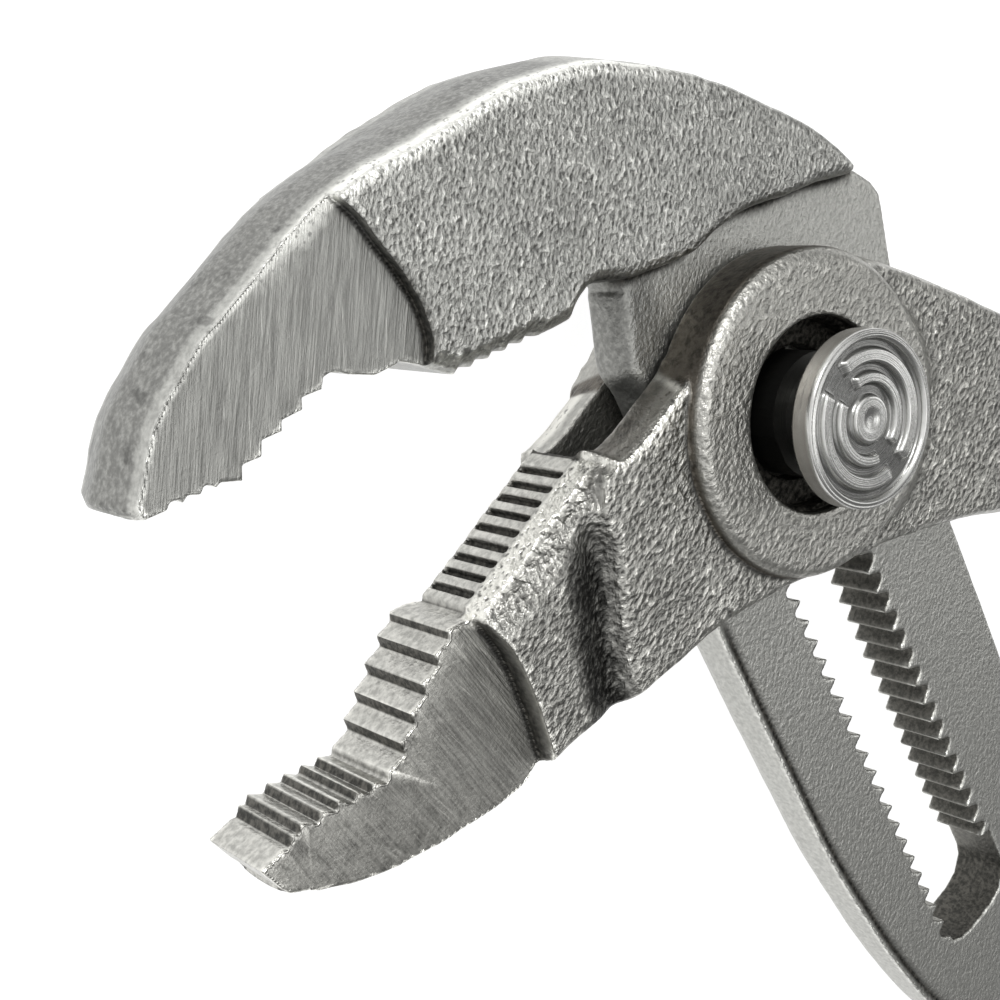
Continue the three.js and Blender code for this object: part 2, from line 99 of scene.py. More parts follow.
def sdline(line, X, Y):
    """Distance to an open line, and how far along it the nearest point is (0 to 1)."""
    P = np.asarray(line, f32)
    d2 = np.full(X.shape, 1e9, f32)
    along = np.zeros(X.shape, f32)
    seg = np.hypot(*(P[1:] - P[:-1]).T)
    run = np.concatenate([[0], np.cumsum(seg)])
    for i in range(len(P) - 1):
        ax, ay = P[i]
        ex, ey = P[i + 1] - P[i]
        wx, wy = X - ax, Y - ay
        t = np.clip((wx * ex + wy * ey) / (ex * ex + ey * ey), 0, 1)
        d = (wx - ex * t) ** 2 + (wy - ey * t) ** 2
        near = d < d2
        d2 = np.where(near, d, d2)
        along = np.where(near, (run[i] + t * seg[i]) / run[-1], along)
    return np.sqrt(d2), along


def smin(a, b, k):
    h = np.maximum(k - np.abs(a - b), 0) / k
    return np.minimum(a, b) - h * h * k * 0.25


def smax(a, b, k):
    h = np.maximum(k - np.abs(a - b), 0) / k
    return np.maximum(a, b) + h * h * k * 0.25


def step(a, b, x):
    t = np.clip((x - a) / (b - a), 0, 1)
    return t * t * (3 - 2 * t)


def lattice(ix, iy, iz, seed):
    n = (ix * 374761393 + iy * 668265263 + iz * 2147483647 + seed * 144269503) & 0xFFFFFFFF
    n = ((n ^ (n >> 13)) * 1274126177) & 0xFFFFFFFF
    n = ((n ^ (n >> 15)) * 2246822519) & 0xFFFFFFFF
    return ((n ^ (n >> 16)) & 0xFFFF).astype(f32) / 32767.5 - 1


def noise2(x, y, seed):
    ix, iy = np.floor(x).astype(np.int64), np.floor(y).astype(np.int64)
    fx, fy = x - ix, y - iy
    fx, fy = fx * fx * (3 - 2 * fx), fy * fy * (3 - 2 * fy)
    z = np.zeros_like(ix)
    a, b = lattice(ix, iy, z, seed), lattice(ix + 1, iy, z, seed)
    c, d = lattice(ix, iy + 1, z, seed), lattice(ix + 1, iy + 1, z, seed)
    return ((a + (b - a) * fx) * (1 - fy) + (c + (d - c) * fx) * fy).astype(f32)


def axis(*spans):
    """Grid lines over spans (start, stop, spacing)."""
    out = []
    for a, b, s in spans:
        n = max(2, int(round((b - a) / (s * COARSE))))
        out.append(np.linspace(a, b, n, endpoint=False))
    out.append(np.array([spans[-1][1]]))
    return np.concatenate(out).astype(f32)


EDGES = [((0, 0, 0), (1, 0, 0)), ((0, 1, 0), (1, 1, 0)), ((0, 0, 1), (1, 0, 1)), ((0, 1, 1), (1, 1, 1)),
         ((0, 0, 0), (0, 1, 0)), ((1, 0, 0), (1, 1, 0)), ((0, 0, 1), (0, 1, 1)), ((1, 0, 1), (1, 1, 1)),
         ((0, 0, 0), (0, 0, 1)), ((1, 0, 0), (1, 0, 1)), ((0, 1, 0), (0, 1, 1)), ((1, 1, 0), (1, 1, 1))]


def skin(F, xs, ys, zs):
    """Closed quad skin of the region F < 0 on a grid, with its corners kept."""
    inside = F < 0
    nx, ny, nz = F.shape
    c = np.zeros((nx - 1, ny - 1, nz - 1), np.uint8)
    for dx in (0, 1):
        for dy in (0, 1):
            for dz in (0, 1):
                c += inside[dx:nx - 1 + dx, dy:ny - 1 + dy, dz:nz - 1 + dz]
    active = (c > 0) & (c < 8)
    ijk = np.argwhere(active)
    idx = np.full(active.shape, -1, np.int32)
    idx[active] = np.arange(len(ijk), dtype=np.int32)
    i, j, k = ijk.T
    grad = np.gradient(F, xs, ys, zs)
    n = len(ijk)
    acc, cnt = np.zeros((n, 3)), np.zeros(n)
    ata, atb = np.zeros((n, 3, 3)), np.zeros((n, 3))
    for c0, c1 in EDGES:
        p, q = (i + c0[0], j + c0[1], k + c0[2]), (i + c1[0], j + c1[1], k + c1[2])
        a, b = F[p], F[q]
        m = np.nonzero((a < 0) != (b < 0))[0]
        a, b = a[m], b[m]
        p, q = tuple(v[m] for v in p), tuple(v[m] for v in q)
        t = a / (a - b)
        at = np.stack([xs[p[0]] + t * (xs[q[0]] - xs[p[0]]), ys[p[1]] + t * (ys[q[1]] - ys[p[1]]), zs[p[2]] + t * (zs[q[2]] - zs[p[2]])], 1)
        g = np.stack([(1 - t) * G[p] + t * G[q] for G in grad], 1)
        g /= np.linalg.norm(g, axis=1)[:, None] + 1e-9
        acc[m] += at
        cnt[m] += 1
        ata[m] += g[:, :, None] * g[:, None, :]
        atb[m] += g * (g * at).sum(1)[:, None]
    mean = acc / cnt[:, None]
    lam = 0.12
    rhs = atb - np.einsum("nij,nj->ni", ata, mean)
    off = np.linalg.solve(ata + lam * np.eye(3), rhs[:, :, None])[:, :, 0]
    size = np.stack([xs[i + 1] - xs[i], ys[j + 1] - ys[j], zs[k + 1] - zs[k]], 1)
    base = np.stack([xs[i], ys[j], zs[k]], 1)
    verts = np.clip(mean + off, base, base + size)
    faces = []
    for ax in range(3):
        s0 = [slice(None)] * 3
        s1 = [slice(None)] * 3
        s0[ax], s1[ax] = slice(None, -1), slice(1, None)
        cross = inside[tuple(s0)] != inside[tuple(s1)]
        u, v = (ax + 1) % 3, (ax + 2) % 3
        keep = [slice(None)] * 3
        keep[u], keep[v] = slice(1, -1), slice(1, -1)
        e = np.argwhere(cross[tuple(keep)])
        e[:, u] += 1
        e[:, v] += 1
        quad = []
        for du, dv in ((-1, -1), (0, -1), (0, 0), (-1, 0)):
            cell = e.copy()
            cell[:, u] += du
            cell[:, v] += dv
            quad.append(idx[tuple(cell.T)])
        quad = np.stack(quad, 1)
        out = inside[tuple(e.T)]
        quad[~out] = quad[~out][:, ::-1]
        faces.append(quad)
    return verts, np.concatenate(faces)


def mesh_object(name, verts, faces, target=None):
    """Object in the part's frame from millimetre points about the pivot, thinned to about target triangles."""
    me = bpy.data.meshes.new(name)
    n, m = len(verts), len(faces)
    co = (np.asarray(verts) + np.array([PX, PY, MID])) / 1000.0
    me.vertices.add(n)
    me.vertices.foreach_set("co", co.astype(f32).ravel())
    me.loops.add(4 * m)
    me.loops.foreach_set("vertex_index", faces.astype(np.int32).ravel())
    me.polygons.add(m)
    me.polygons.foreach_set("loop_start", np.arange(0, 4 * m, 4, dtype=np.int32))
    me.update(calc_edges=True)
    me.validate()
    ob = bpy.data.objects.new(name, me)
    scene.collection.objects.link(ob)
    if target and 2 * m > target:
        mod = ob.modifiers.new("thin", "DECIMATE")
        mod.ratio = target / (2.0 * m)
        mod.use_collapse_triangulate = True
        dg = bpy.context.evaluated_depsgraph_get()
        thin = bpy.data.meshes.new_from_object(ob.evaluated_get(dg))
        ob.modifiers.clear()
        old = ob.data
        ob.data = thin
        bpy.data.meshes.remove(old)
        thin.name = name
    ob.data.polygons.foreach_set("use_smooth", np.ones(len(ob.data.polygons), bool))
    ob.data.update()
    return ob


def points_of(ob):
    n = len(ob.data.vertices)
    co, no = np.zeros(3 * n, f32), np.zeros(3 * n, f32)
    ob.data.vertices.foreach_get("co", co)
    ob.data.vertices.foreach_get("normal", no)
    return co.reshape(-1, 3) * 1000 - np.array([PX, PY, MID], f32), no.reshape(-1, 3)


def bend(ob, rounds=2):
    """How far each vertex stands out of (+) or lies in (-) its neighbourhood, per millimetre."""
    me = ob.data
    n = len(me.vertices)
    e = np.zeros(2 * len(me.edges), np.int32)
    me.edges.foreach_get("vertices", e)
    e = e.reshape(-1, 2)
    p, no = points_of(ob)
    d = p[e[:, 1]] - p[e[:, 0]]
    l = np.maximum(np.linalg.norm(d, axis=1), 1e-4)
    c = (no[e[:, 1]] - no[e[:, 0]])
    v = (c * d).sum(1) / l ** 2
    num, den = np.zeros(n), np.zeros(n)
    for s in (0, 1):
        np.add.at(num, e[:, s], v * np.minimum(l, 0.6))
        np.add.at(den, e[:, s], np.minimum(l, 0.6))
    out = num / np.maximum(den, 1e-9)
    for _ in range(rounds):
        num, den = out.copy(), np.ones(n)
        np.add.at(num, e[:, 0], out[e[:, 1]])
        np.add.at(num, e[:, 1], out[e[:, 0]])
        np.add.at(den, e[:, 0], 1)
        np.add.at(den, e[:, 1], 1)
        out = num / den
    return out


def paint(ob, **masks):
    for name, value in masks.items():
        a = ob.data.attributes.new(name, "FLOAT", "POINT")
        a.data.foreach_set("value", np.clip(value, 0, 1).astype(f32))


# ------------------------------------------------------------------ outlines
SD = math.radians(-57.9)
TX, TY = math.cos(SD), math.sin(SD)
PITCH, STEPS, SLOT_OFF = 2.065, 24, -1.15


def at(s, p):
    return (TX * s - TY * p, TY * s + TX * p)


def teeth(a, b, count, depth, lean=0.5, hollow=0.0):
    """Row of teeth from a to b, cut to the left of the way; hollow rounds the flanks inwards."""
    a, b = np.array(a, float), np.array(b, float)
    d = b - a
    nrm = np.array([-d[1], d[0]]) / np.hypot(*d)
    out = [tuple(a)]
    for i in range(count):
        for f, h in ((lean * 0.45, 0.62 + hollow), (lean, 1.0), (lean + (1 - lean) * 0.35, 0.68 + hollow), (lean + (1 - lean) * 0.7, 0.3 + hollow)):
            out.append(tuple(a + d * (i + f) / count + nrm * depth * min(h, 1.0)))
        out.append(tuple(a + d * (i + 1) / count))
    return out


def ribbon(line, extra=0.0):
    p = np.array(catmull(line, 4))
    t = np.gradient(p[:, :2], axis=0)
    t /= np.linalg.norm(t, axis=1)[:, None]
    w = (p[:, 2] + extra)[:, None]
    nrm = np.stack([-t[:, 1], t[:, 0]], 1)
    left, right = p[:, :2] + nrm * w, p[:, :2] - nrm * w
    tip = []
    for k in range(1, 12):
        a = math.pi / 2 - k * math.pi / 12
        tip.append(p[-1, :2] + t[-1] * math.cos(a) * w[-1] * 0.9 + nrm[-1] * math.sin(a) * w[-1])
    return [tuple(q) for q in left] + [tuple(q) for q in tip] + [tuple(q) for q in right[::-1]]


# ------------------------------------------------------------------ upper jaw lever
spine = catmull([(-53.5, -2.6), (-52.95, -0.6), (-52.45, 1.4), (-51.8, 2.95), (-50.8, 4.65), (-49.4, 6.8), (-46.95, 9.45), (-45.65, 10.75), (-40.05, 15.75),
                 (-33.95, 19.1), (-27.96, 22.27), (-23.0, 24.06), (-19.53, 24.84), (-15.66, 24.95), (-11.93, 24.75), (-6.0, 23.65), (0.27, 21.97), (3.6, 20.6), (5.95, 19.3)], 4)
head = spine + [(7.6, 18.4), (8.0, 16.0), (0, 11), (-12, 6), (-17.0, 5.5), (-20.5, 4.8), (-30, 0.5), (-38, 0.0), (-44, -5.4), (-51.0, -6.2), (-52.8, -4.2)]
crease = catmull([(10.0, 19.0), (8.0, 18.4), (5.56, 17.8), (2.28, 17.11), (0.15, 16.47), (-1.93, 15.7), (-3.98, 15.22), (-5.98, 14.55), (-7.93, 13.47), (-9.84, 12.13),
                  (-10.79, 11.64), (-12.67, 11.02), (-14.52, 10.48), (-16.33, 10.01), (-17.68, 9.95), (-19.0, 9.9), (-19.87, 9.6)], 3)
creaseSide = crease + [(-20.3, 8.0), (-20.5, 0.0), (-60, -10), (-60, 40), (20, 40), (14, 22)]
upperGrip = ([(-53.8, -2.9), (-52.2, -3.4), (-50.55, -2.9), (-50.35, -2.46), (-49.85, -2.33), (-49.55, -2.59), (-49.23, -2.15), (-48.41, -2.17), (-48.21, -1.72), (-47.83, -1.64),
              (-47.39, -1.85), (-47.13, -1.58), (-45.71, -1.57), (-45.68, -0.64), (-44.43, -0.26), (-44.40, 0.74), (-43.06, 1.19), (-43.05, 1.84), (-41.62, 2.41), (-41.67, 3.13),
              (-40.29, 3.54), (-40.14, 4.26), (-39.72, 4.48), (-39.02, 4.51), (-38.53, 4.37), (-36.54, 4.23), (-35.07, 4.78), (-34.7, 5.0), (-33.2, 4.7), (-31.8, 4.3)]
             + teeth((-30.3, 3.95), (-23.6, 6.25), 5, 0.32, 0.3) + [(-22.2, 6.75), (-20.95, 7.25)])
throat = catmull([(-20.95, 7.25), (-20.4, 8.3), (-19.6, 9.15), (-18.4, 9.5), (-17.1, 9.3), (-16.15, 8.6)], 4)
mouth = upperGrip + throat[1:] + [(-16.0, 7.6), (-18.7, 5), (-22, -12), (-57, -14), (-57, -6)]
tipArc = catmull([(-40.8, 17.0), (-39.54, 14.92), (-38.85, 14.4), (-37.83, 13.55), (-36.64, 12.2), (-35.37, 10.89), (-34.43, 9.67), (-33.78, 8.75), (-33.2, 7.5), (-32.85, 6.3),
                  (-32.85, 4.8), (-33.0, 0.0)], 4)
tipZone = tipArc + [(-34, -12), (-58, -12), (-58, 20), (-42, 20)]
armLeft = catmull([at(-22, -9.0), at(-16.5, -8.5), at(-15.65, -8.74), at(-12.4, -10.1), at(-10.55, -10.75), at(-9.55, -10.75), at(-8.03, -10.5), at(-4, -10.8), at(2, -12.2), at(9, -13.1),
                   at(14, -13.3), at(24, -13.3), at(35, -13.2), at(40, -12.9), at(44, -12.5), at(48.5, -12.0), at(52.6, -11.3), at(57, -10.4), at(62, -8.8), at(66, -7.3), at(72, -5.3), at(77, -4.5)], 3)
arm = (armLeft
       + catmull([at(77, 8.6), at(72, 9.1), at(66, 10.0), at(59, 11.2), at(52, 12.1), at(44, 12.7), at(34, 13.0), at(22, 13.2), at(10, 13.3)], 4)
       + [(14.0, 4.2), (13.3, 7.2), (13.4, 9.6), (13.3, 11.0), (12.75, 12.9), (12.0, 15.5), (11.6, 16.6), (10.5, 17.5), (8.4, 18.3), (4, 18.6), (-6, 17.5), (-14, 15.5)])
armLeftLine = armLeft[24:]


def slot_side(sign, phase):
    out = []
    left = ((-0.34, 3.7), (-0.24, 4.2), (-0.14, 4.68), (0, 4.78), (0.14, 4.7), (0.3, 4.45), (0.48, 4.02), (0.6, 3.74))
    right = ((-0.42, 3.7), (-0.28, 4.2), (-0.14, 4.68), (0, 4.78), (0.14, 4.68), (0.28, 4.2), (0.42, 3.7))
    for i in range(-2, STEPS + 2):
        s = (i + phase) * PITCH
        for f, h in (left if sign < 0 else right):
            out.append((s + f * PITCH, sign * (h if sign < 0 or s < 48.5 else 5.0)))
    return out


S0, S1 = -5.3, STEPS * PITCH + 6.1
slot = [at(s, p + SLOT_OFF) for s, p in [(S0, 3.2), (S0, -3.2)] + slot_side(-1, 0.6)
        + [(S1 - 1.0, -3.7), (S1 - 0.3, -2.6), (S1, -1.4), (S1, 1.8), (S1 - 0.4, 3.4), (S1 - 1.6, 4.7)] + slot_side(1, 0.28)[::-1]]
upperTang = [(*at(74, 2.2), 6.4), (*at(82, 2.6), 6.2), (53.0, -75.8, 5.8), (66.0, -85.4, 5.4), (86.0, -99.0, 5.2), (108.0, -113.6, 5.0), (128.0, -127.4, 4.6), (140.0, -136.4, 4.2)]


def upper_lever():
    xs = axis((-54.2, -52.2, 0.3), (-52.2, -21.5, 0.17), (-21.5, 34, 0.22), (34, 46, 0.45), (46, 146, 1.2))
    ys = axis((-143, -84, 1.2), (-84, -52, 0.5), (-52, -4.4, 0.22), (-4.4, 9.8, 0.17), (9.8, 26, 0.24))
    za = axis((0.0, 1.8, 0.45), (1.8, 3.2, 0.2), (3.2, 5.5, 0.18), (5.5, 5.9, 0.2))
    X, Y = np.meshgrid(xs, ys, indexing="ij")
    wob = 0.10 * noise2(X / 3.1, Y / 3.1, 3) + 0.05 * noise2(X / 1.1, Y / 1.1, 5)
    wob2 = 0.10 * noise2(X / 3.3, Y / 3.3, 7) + 0.05 * noise2(X / 1.2, Y / 1.2, 9)
    Xw, Yw = X + wob, Y + wob2
    dH, dCr = sdpoly(head, Xw, Yw), sdpoly(creaseSide, Xw, Yw)
    dM, dT = sdpoly(mouth, X + 0.3 * wob, Y + 0.3 * wob2), sdpoly(tipZone, X + 0.4 * wob, Y + 0.4 * wob2)
    dA, dS = sdpoly(arm, X + 0.35 * wob, Y + 0.35 * wob2), sdpoly(slot, X, Y)
    dL, _ = sdline(armLeftLine, X, Y)
    dG = sdpoly(ribbon(upperTang), X, Y)
    s = TX * X + TY * Y
    p = -TY * X + TX * Y
    A = za[None, None, :]
    e3 = lambda v: v[:, :, None]
    swell = 0.06 * noise2(X / 6.0, Y / 6.0, 11)
    # forged head: the sides draw in towards both faces, more so at the tip
    draw = 0.9 * (1 + 0.62 * step(-38.5, -44.5, X))
    f = smax(e3(dH) + e3(draw) * (A / 5.1) ** 1.3, A - 5.1 - e3(swell), 0.5)
    # the head's lower edge steps down to the arm
    f = smax(f, e3(dCr) + 0.12 * (A - 4.6), 1.0)
    # ground tip on both faces
    cut = smax(e3(dT), 4.15 - A + 0 * e3(dT), 0.3)
    f = smax(f, -cut, 0.12)
    # mouth: crisp in the ground tip, the forged face rolls over further back
    roll = e3(step(-0.2, 0.6, dT)) * np.maximum(A - 3.5, 0) ** 1.5 * 0.55
    f = smax(f, -e3(dM) + roll, 0.14)
    # thin slotted arm with a round left side at the tongue
    tongue = step(-2.0, -7.0, s) * step(2.0, -4.0, p)
    rnd = 1 - np.sqrt(np.clip(1 - (np.minimum(A, 2.7) / 2.74) ** 2, 0, 1))
    groove = 0.32 * np.exp(-((dL - 0.85) / 0.42) ** 2) * step(8, 14, s)
    fa = smax(e3(dA) + e3(0.36 + 1.35 * tongue) * rnd, A - 2.53 + e3(groove), 0.25)
    fa = smax(fa, -e3(dS) + np.maximum(A - 2.45, 0) * 0.35, 0.1)
    f = smin(f, fa, 0.5)
    # the mouth and the throat stay open, and so does the slot
    f = smax(f, -e3(dS), 0.08)
    # handle tang
    ramp = step(-2.2, 2.2, (s - 78.0) - 0.8 * (p - 1.8))
    ht = 2.53 + 1.37 * ramp
    fg = smax(e3(dG) + 0.7 * (A / 3.9) ** 2, A - e3(ht), 0.6)
    f = smin(f, fg, 0.6).astype(f32)
    F = np.concatenate([f[:, :, :0:-1], f], 2)
    zs = np.concatenate([-za[:0:-1], za])
    # rear left edge of the arm is rounded off
    off = e3(np.where((p < -5) & (s > -17) & (s < 74), dA, -9.0)) + e3(0.8 - 0.32 * step(1, 6, s)) * np.maximum(-zs[None, None, :] - 0.5, 0)
    F = smax(F, off, 0.3).astype(f32)
    # behind, the middle of the spine is fuller
    dP, _ = sdline(spine, X, Y)
    full = e3(0.9 - 0.75 * step(-37.5, -33, X) * step(-17, -23, X)) * (za[None, None, :] / 5.1) ** 1.3
    g = smax(e3(np.maximum(dH, dP - 4.0)) + full, za[None, None, :] - 5.1 - e3(swell), 0.5)
    n = len(za) - 1
    F[:, :, :n] = np.minimum(F[:, :, :n], np.where(e3((X > -37.5) & (X < -17)), g[:, :, :0:-1], 9.0))
    v, q = skin(F, xs, ys, zs)
    ob = mesh_object("upper_jaw_forging", v, q, 188000)
    P, N = points_of(ob)
    X, Y, A = P[:, 0], P[:, 1], np.abs(P[:, 2])
    dM, dT, dA, dS, dCr = (sdpoly(o, X, Y) for o in (mouth, tipZone, arm, slot, creaseSide))
    dL, _ = sdline(armLeftLine, X, Y)
    dSp, _ = sdline(spine, X, Y)
    s = TX * X + TY * Y
    p = -TY * X + TX * Y
    flat = step(0.75, 0.93, np.abs(N[:, 2]))
    k = bend(ob)
    upright = 1 - step(0.35, 0.75, np.abs(N[:, 2]))
    # painted shade: near-black bands in the crease under the head, on top of the tongue, along the step round the
    # ground tip, in the groove by the arm's left edge, on the slot's walls and end, and on the undercut faces of the
    # teeth
    dark = np.maximum.reduce([
        np.exp(-((dCr - 0.35) / 0.55) ** 2) * step(4.2, 3.4, A) * (X > -19.5) * (X < 8) * (1 - upright * (X < -14)),
        0.85 * np.exp(-(dCr / 0.8) ** 2) * step(1.6, 2.6, A) * step(5.0, 4.4, A) * step(-20.4, -19.4, X) * step(-13.0, -15.0, X),
        step(0.5, 0.1, np.abs(dT)) * step(3.9, 4.2, A) * step(5.4, 5.0, A) * (0.25 + 0.6 * step(13.6, 10.5, Y)) * (X < -32),
        np.exp(-((dL - 0.85) / 0.45) ** 2) * flat * (A < 3.2) * step(8, 14, s),
        0.75 * step(0.5, 0.25, np.abs(dS)) * upright * (p > 0) * step(0.35, -0.2, TX * N[:, 0] + TY * N[:, 1]),
        0.85 * step(0.5, 0.25, np.abs(dS)) * upright * step(51.5, 53.5, s),
        0.9 * step(0.4, 0.15, np.abs(dM)) * upright * step(0.2, 0.75, N[:, 0]) * (X < -18.5)])
    # the masks for the slot walls, the ring wall, the near-black bands and the hollows carry painted shade; the spine
    # band and the convex edges carry painted highlight besides bare steel
    paint(ob,
          ground=flat * step(0.05, -0.25, dT) * step(4.5, 4.3, A),
          tooth=step(0.35, 0.12, np.abs(dM)) * (1 - flat) * (X < -18.5),
          plate=np.maximum(step(3.1, 2.85, A) * step(-0.6, 0.5, dCr), step(20, 30, s)),
          wallm=upright * step(0.3, 0.8, np.abs(dM)) * (A < 5.0),
          slotw=step(0.5, 0.25, np.abs(dS)) * (1 - flat), dark=dark, ringw=0 * X, shadow=0.5 * step(-5, -9, s) * step(-4.5, -6.5, p) * step(3.4, 3.0, A),
          burr=step(1.9, 1.3, dSp) * step(3.5, 4.3, P[:, 2]) * step(-50, -40, X) * step(-8, -18, X),
          wear=step(0.35, 1.6, k), cav=step(0.2, 1.1, -k))
    return ob


# ------------------------------------------------------------------ lower jaw lever
rear = []
for i in range(9):
    for along, deep in ((0.0, 0.0), (0.08, 0.55), (0.40, 0.62), (0.50, 0.0)):
        rear.append((-20.34 - 8.43 * (i + along) / 9 + 0.7033 * deep, -3.14 - 8.34 * (i + along) / 9 - 0.7109 * deep))
rear.append((-28.77, -11.48))
front = [(-28.8, -12.0), (-29.15, -12.15), (-30.75, -12.65), (-30.7, -13.35), (-31.8, -14.2), (-31.55, -14.95), (-32.85, -15.9), (-32.55, -16.7), (-33.7, -17.75), (-33.4, -18.55),
         (-34.55, -19.55), (-34.2, -20.4), (-35.45, -21.35), (-35.6, -21.95), (-36.65, -21.85), (-36.9, -22.45), (-37.9, -22.15), (-38.15, -22.75), (-39.2, -22.5), (-39.45, -23.1),
         (-40.5, -22.9), (-40.8, -23.55), (-42.0, -23.35), (-42.1, -24.0), (-42.55, -23.95), (-42.8, -24.75), (-43.25, -24.85)]
jawBottom = catmull([(-43.2, -27.55), (-40.8, -28.25), (-37.8, -28.35), (-36.3, -28.15), (-34.7, -27.95), (-31.5, -27.3), (-28.2, -26.15), (-26.5, -25.55), (-24.8, -24.8), (-23.8, -24.1),
                     (-23.3, -23.3), (-21.3, -22.0), (-19.5, -21.1), (-17.5, -20.3)], 3)
cheekBottom = catmull([(-17.5, -20.3), (-15.4, -19.7), (-13.5, -18.7), (-11.6, -17.7), (-9.65, -16.75), (-7.7, -15.7), (-5.7, -15.05), (-2.5, -14.2), (2.0, -13.3), (7.0, -12.3), (12.0, -11.3),
                       (18.0, -10.7), (26.0, -10.4), (36.0, -9.8), (48.0, -8.8), (59.4, -8.0)], 3)
handleTop = catmull([(59.4, 4.2), (48.0, 4.5), (36.0, 5.4), (28.0, 6.6), (20.0, 8.8), (14.0, 10.5), (9.0, 11.6), (6.0, 12.1)], 3)
ringTop = [(12.3 * math.cos(math.radians(a)), 12.3 * math.sin(math.radians(a))) for a in np.arange(70, 157.1, 7.25)]
cheekTop = catmull([(-12.0, 4.2), (-12.4, 3.4), (-13.1, 2.55), (-14.3, 1.45), (-15.4, 0.35), (-16.6, -0.7), (-18.2, -1.65)], 3)
outer = cheekTop + [(-21.5, -1.7), (-33.5, -10.5), (-37.5, -19.0), (-45.6, -22.5), (-46.6, -26.2), (-44.4, -28.0)] + jawBottom[2:] + cheekBottom[1:] + handleTop + ringTop
beyond = [(-44.8, -25.9), (-43.4, -27.3), (-42.9, -27.65), (-44, -30), (-60, -30), (-60, 12), (-19, 12)]
gripCut = [(-18.9, 0.6), (-19.3, -2.3)] + rear + front + beyond
gripLine = [(-18.9, 0.6), (-19.3, -2.3), (-20.34, -3.14), (-28.77, -11.48)] + front + beyond
valleyLine = catmull([(-20.6, -3.6), (-20.07, -6.32), (-19.52, -8.11), (-19.05, -10.61), (-18.65, -13.48), (-18.07, -16.41), (-17.3, -19.05), (-16.2, -22.5)], 4)
jawZone = [(-20.8, 4)] + valleyLine + [(-16.2, -34), (-60, -34), (-60, 4)]
lowArc = catmull([(-36, -4), (-32.6, -8.2), (-30.6, -10.3), (-29.31, -11.75), (-28.26, -12.83), (-27.03, -14.37), (-25.94, -16.18), (-25.09, -17.91), (-24.4, -19.63), (-23.79, -21.43),
                  (-23.35, -22.58), (-22.8, -26), (-23.2, -31)], 4)
lowTip = lowArc + [(-60, -32), (-60, -4)]
box = [(-30, 14), (-19.7, 0.6), (-19.35, -1.8), (-18.6, -3.5), (-16.6, -6.4), (-14.2, -8.8), (-13.6, -10.8), (-12.5, -16.6), (-12.1, -22), (9, -28), (62, -28),
       (41.6, -10.0), (26.2, 0.0), (17.0, 5.9), (17.4, 8.5), (17.4, 11.0), (16.5, 15), (0, 18)]
lowerTang = [(36.0, -2.2, 6.4), (46.0, -2.2, 6.0), (60.0, -1.8, 5.6), (84.0, -0.6, 5.2), (110.0, -0.6, 5.2), (140.0, -2.4, 5.0), (166.0, -5.4, 4.6), (184.0, -8.2, 4.2)]


